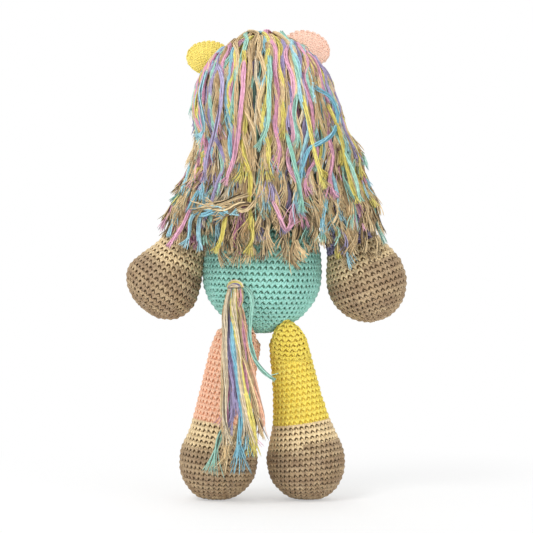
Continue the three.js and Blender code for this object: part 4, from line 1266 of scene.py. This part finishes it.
# One strand that hangs by itself at the right: its route from the knot in mm, as (to the left, up)
LONE_TAIL_STRAND = [(-7, 1), (-12, -4), (-13, -12), (-11.6, -23), (-11, -33), (-13.4, -46), (-18.4, -55),
                    (-25.4, -61), (-32, -64.5)]
TAIL_NODES = {
    "tan": ["tail_lock_1"], "lilac": ["tail_lock_2"], "aqua": ["tail_lock_3"], "yellow": ["tail_lock_4"],
    "pink": ["tail_lock_5"], "mint": ["tail_lock_6"], "cream": ["tail_knot"],
}
# Heights below the knot where a strand's place is given, in mm
TAIL_DROPS = np.array([-1, 3, 9, 18, 42, 68, 92, 110, 128])
TAIL_ASIDE = -2.7 * MM
# How much light the painted shade leaves the tail's strands
TAIL_LIGHT = 0.8
TAIL_BULK = 1.18
KNOT_COLOURS = ("cream", "yellow", "lilac", "cream")
KNOT_WIDE = 5.8 * MM


def make_tail():
    """Strands folded through one stitch of the torso and drawn tight: a band of loops across the top, and the
    strands that come out from under it and hang down. A strand starts side by side with the others under the
    band and goes over to its own places, read linearly between the heights."""
    axis = np.array(joints["tail_lift"]["axis"])
    knot = joint_place("tail_lift") + TAIL_ASIDE * axis
    outward = np.cross(axis, (0, 0, -1))
    meshes = {}
    number = len(TAIL_STRANDS)
    for index, (colour, high, middle, low, end) in enumerate(TAIL_STRANDS):
        place = 1 - 2 * (index + 0.5) / number
        aside = np.array([place * 4, place * 4.6, place * 5.4, (place * 6 + high) / 2, high,
                          (high + middle) / 2, middle, (middle + low) / 2, low])
        kept = TAIL_DROPS < end - 6
        drop, aside = (np.append(TAIL_DROPS[kept], end),
                       np.append(aside[kept], np.interp(end, TAIL_DROPS, aside)))
        aside = aside + wavy(drop, 1.2, (60, 34)) * (drop > 15)
        near = np.clip(drop / 20, 0, 1)
        depth = 1.6 + 1.4 * np.sin(near * math.pi)
        depth = depth + (TAIL_DEPTHS[colour] + random.uniform(-0.8, 0.8)) * near
        path = (knot + (aside * (1 - near))[:, None] * MM * axis + depth[:, None] * MM * outward
                + np.stack([aside * near, np.zeros(len(drop)), -drop], axis=-1) * MM)
        strand(meshes.setdefault(colour, Mesh()), path, pick_tint(), outward,
               random.uniform(12, 26) * MM, 1.3, TAIL_LIGHT, TAIL_BULK)
    aside, rise = np.array(LONE_TAIL_STRAND, float).T * MM
    path = knot + aside[:, None] * axis + rise[:, None] * (0, 0, 1) + 1.2 * MM * outward
    strand(meshes["mint"], path, 0.4, outward, 8 * MM)
    turn = np.radians(np.linspace(-30, 210, 15))
    for index, colour in enumerate(KNOT_COLOURS):
        wide, tall = KNOT_WIDE - 0.8 * MM * index, (4.4 - 1.1 * index) * MM
        loop = (knot + np.cos(turn)[:, None] * wide * axis + np.sin(turn)[:, None] * tall * (0, 0, 1)
                + (1.6 + 0.7 * index) * MM * outward)
        strand(meshes.setdefault(colour, Mesh()), loop, 0.3, outward, bulk=0.75)
    for colour, mesh in meshes.items():
        finish_piece(mesh.make(f"tail_{colour}", LOOSE[colour]), "tail",
                     TAIL_NODES.get(colour, []))


def dress_hidden_nodes():
    """The filling and the washers inside stay as they are, with their own finishes."""
    filling = plain_material("fibre_filling", (244, 242, 236), 0.95, 900.0, 0.0006)
    washer = plain_material("washer_plastic", (232, 230, 224), 0.45, 300.0, 0.0001)
    for name, obj in frame["nodes"].items():
        if name.endswith("stuffing"):
            obj.material_slots[0].material = filling
        elif name.startswith("eye_washer"):
            obj.material_slots[0].material = washer


def make_eye_material():
    """Polished black plastic."""
    material = plain_material("eye_gloss", (20, 17, 15), 0.09, 160.0, 0.00002)
    shader = material.node_tree.nodes["Principled BSDF"]
    shader.inputs["Coat Weight"].default_value = 0.6
    shader.inputs["Coat Roughness"].default_value = 0.04
    return material


EYE = make_eye_material()

FLOOR_WHITE = (0.95, 0.95, 0.95, 1)
FLOOR_RADIUS = 3
FLOOR_LEVEL = -0.6 * MM
SURROUND_LIGHT = 0.66
# Each lamp's name, place, size and power
LAMPS = (
    ("key", (0.8, 1.3, 1.5), 0.7, 18),
    ("fill", (-1.2, 1.5, 0.6), 1.2, 8),
    ("front", (0.3, -1.8, 1.3), 1.4, 9),
)
LAMP_AIM = np.array([0, 0, 0.17])


def look_along(made, direction):
    """Turns a lamp or the camera so that it looks along a direction."""
    made.rotation_euler = Vector(direction).to_track_quat("-Z", "Y").to_euler()


def seen_ray(tree):
    """1 for a ray of the camera, or one seen in a gloss or through something clear, else 0."""
    rays = node(tree, "ShaderNodeLightPath")
    seen = math_node(tree, "MAXIMUM", rays.outputs["Is Camera Ray"], rays.outputs["Is Glossy Ray"])
    return math_node(tree, "MAXIMUM", seen, rays.outputs["Is Transmission Ray"])


def make_stage():
    """A pale floor, a white surround, and soft lamps above the seen side and in front. Seen by the camera,
    the floor fades to the surround's white away from the object and keeps its shadow nearby: the share of
    white is 1.6 for each metre from the middle, plus 0.4, up to 1."""
    bpy.ops.mesh.primitive_circle_add(vertices=96, radius=FLOOR_RADIUS, fill_type="NGON",
                                      location=(0, 0, FLOOR_LEVEL))
    floor = bpy.context.object
    floor.name = "floor"
    material, tree, shader = new_material("floor", 0.9)
    shader.inputs["Base Color"].default_value = FLOOR_WHITE
    far = node(tree, "ShaderNodeVectorMath", operation="LENGTH")
    tree.links.new(object_place(tree), far.inputs[0])
    share = math_node(tree, "MULTIPLY_ADD", far.outputs["Value"], 1.6, 0.4)
    share.node.use_clamp = True
    white = node(tree, "ShaderNodeEmission", in_Color=WHITE)
    mix = node(tree, "ShaderNodeMixShader")
    tree.links.new(math_node(tree, "MULTIPLY", share, seen_ray(tree)), mix.inputs["Fac"])
    tree.links.new(shader.outputs[0], mix.inputs[1])
    tree.links.new(white.outputs[0], mix.inputs[2])
    tree.links.new(mix.outputs[0], tree.nodes["Material Output"].inputs["Surface"])
    floor.data.materials.append(material)
    world = bpy.data.worlds.new("surround")
    bpy.context.scene.world = world
    world.use_nodes = True
    tree = world.node_tree
    background = tree.nodes["Background"]
    strength = math_node(tree, "MULTIPLY_ADD", seen_ray(tree), 1 - SURROUND_LIGHT, SURROUND_LIGHT)
    tree.links.new(strength, background.inputs["Strength"])
    background.inputs["Color"].default_value = WHITE
    for name, place, size, power in LAMPS:
        lamp = bpy.data.lights.new(name, "AREA")
        lamp.energy, lamp.size = power, size
        lamp_object = new_object(name, lamp)
        lamp_object.location = place
        look_along(lamp_object, LAMP_AIM - np.array(place))


# The photograph's view: from behind, at the horse's mid height. Its frame is square.
CAMERA_DISTANCE = 1.7
FRAME_WIDTH = 384.8 * MM
CAMERA_HEIGHT = 168 * MM
CAMERA_RISE = math.radians(1.5)
SENSOR = 36.0


def make_camera():
    """The camera, with a lens that fits the frame's width at the horse's distance."""
    camera = bpy.data.cameras.new("camera")
    camera.sensor_width = SENSOR
    camera.lens = SENSOR * CAMERA_DISTANCE / FRAME_WIDTH
    camera_object = new_object("camera", camera)
    target = Vector((0, neck[1], CAMERA_HEIGHT))
    away = Vector((0, math.cos(CAMERA_RISE), math.sin(CAMERA_RISE)))
    camera_object.location = target + away * CAMERA_DISTANCE
    look_along(camera_object, -away)
    bpy.context.scene.camera = camera_object


make_camera()
make_stage()
make_torso()
make_head()
make_muzzle()
for make in (make_ear, make_arm, make_leg, make_gusset):
    for make_side in SIDES:
        make(make_side)
make_seams()
for face_side in SIDES:
    make_eye(face_side)
    make_nostril(face_side)
finish_mane(make_mane())
make_forelock()
make_tail()
dress_hidden_nodes()

bpy.context.scene.view_settings.view_transform = "Standard"
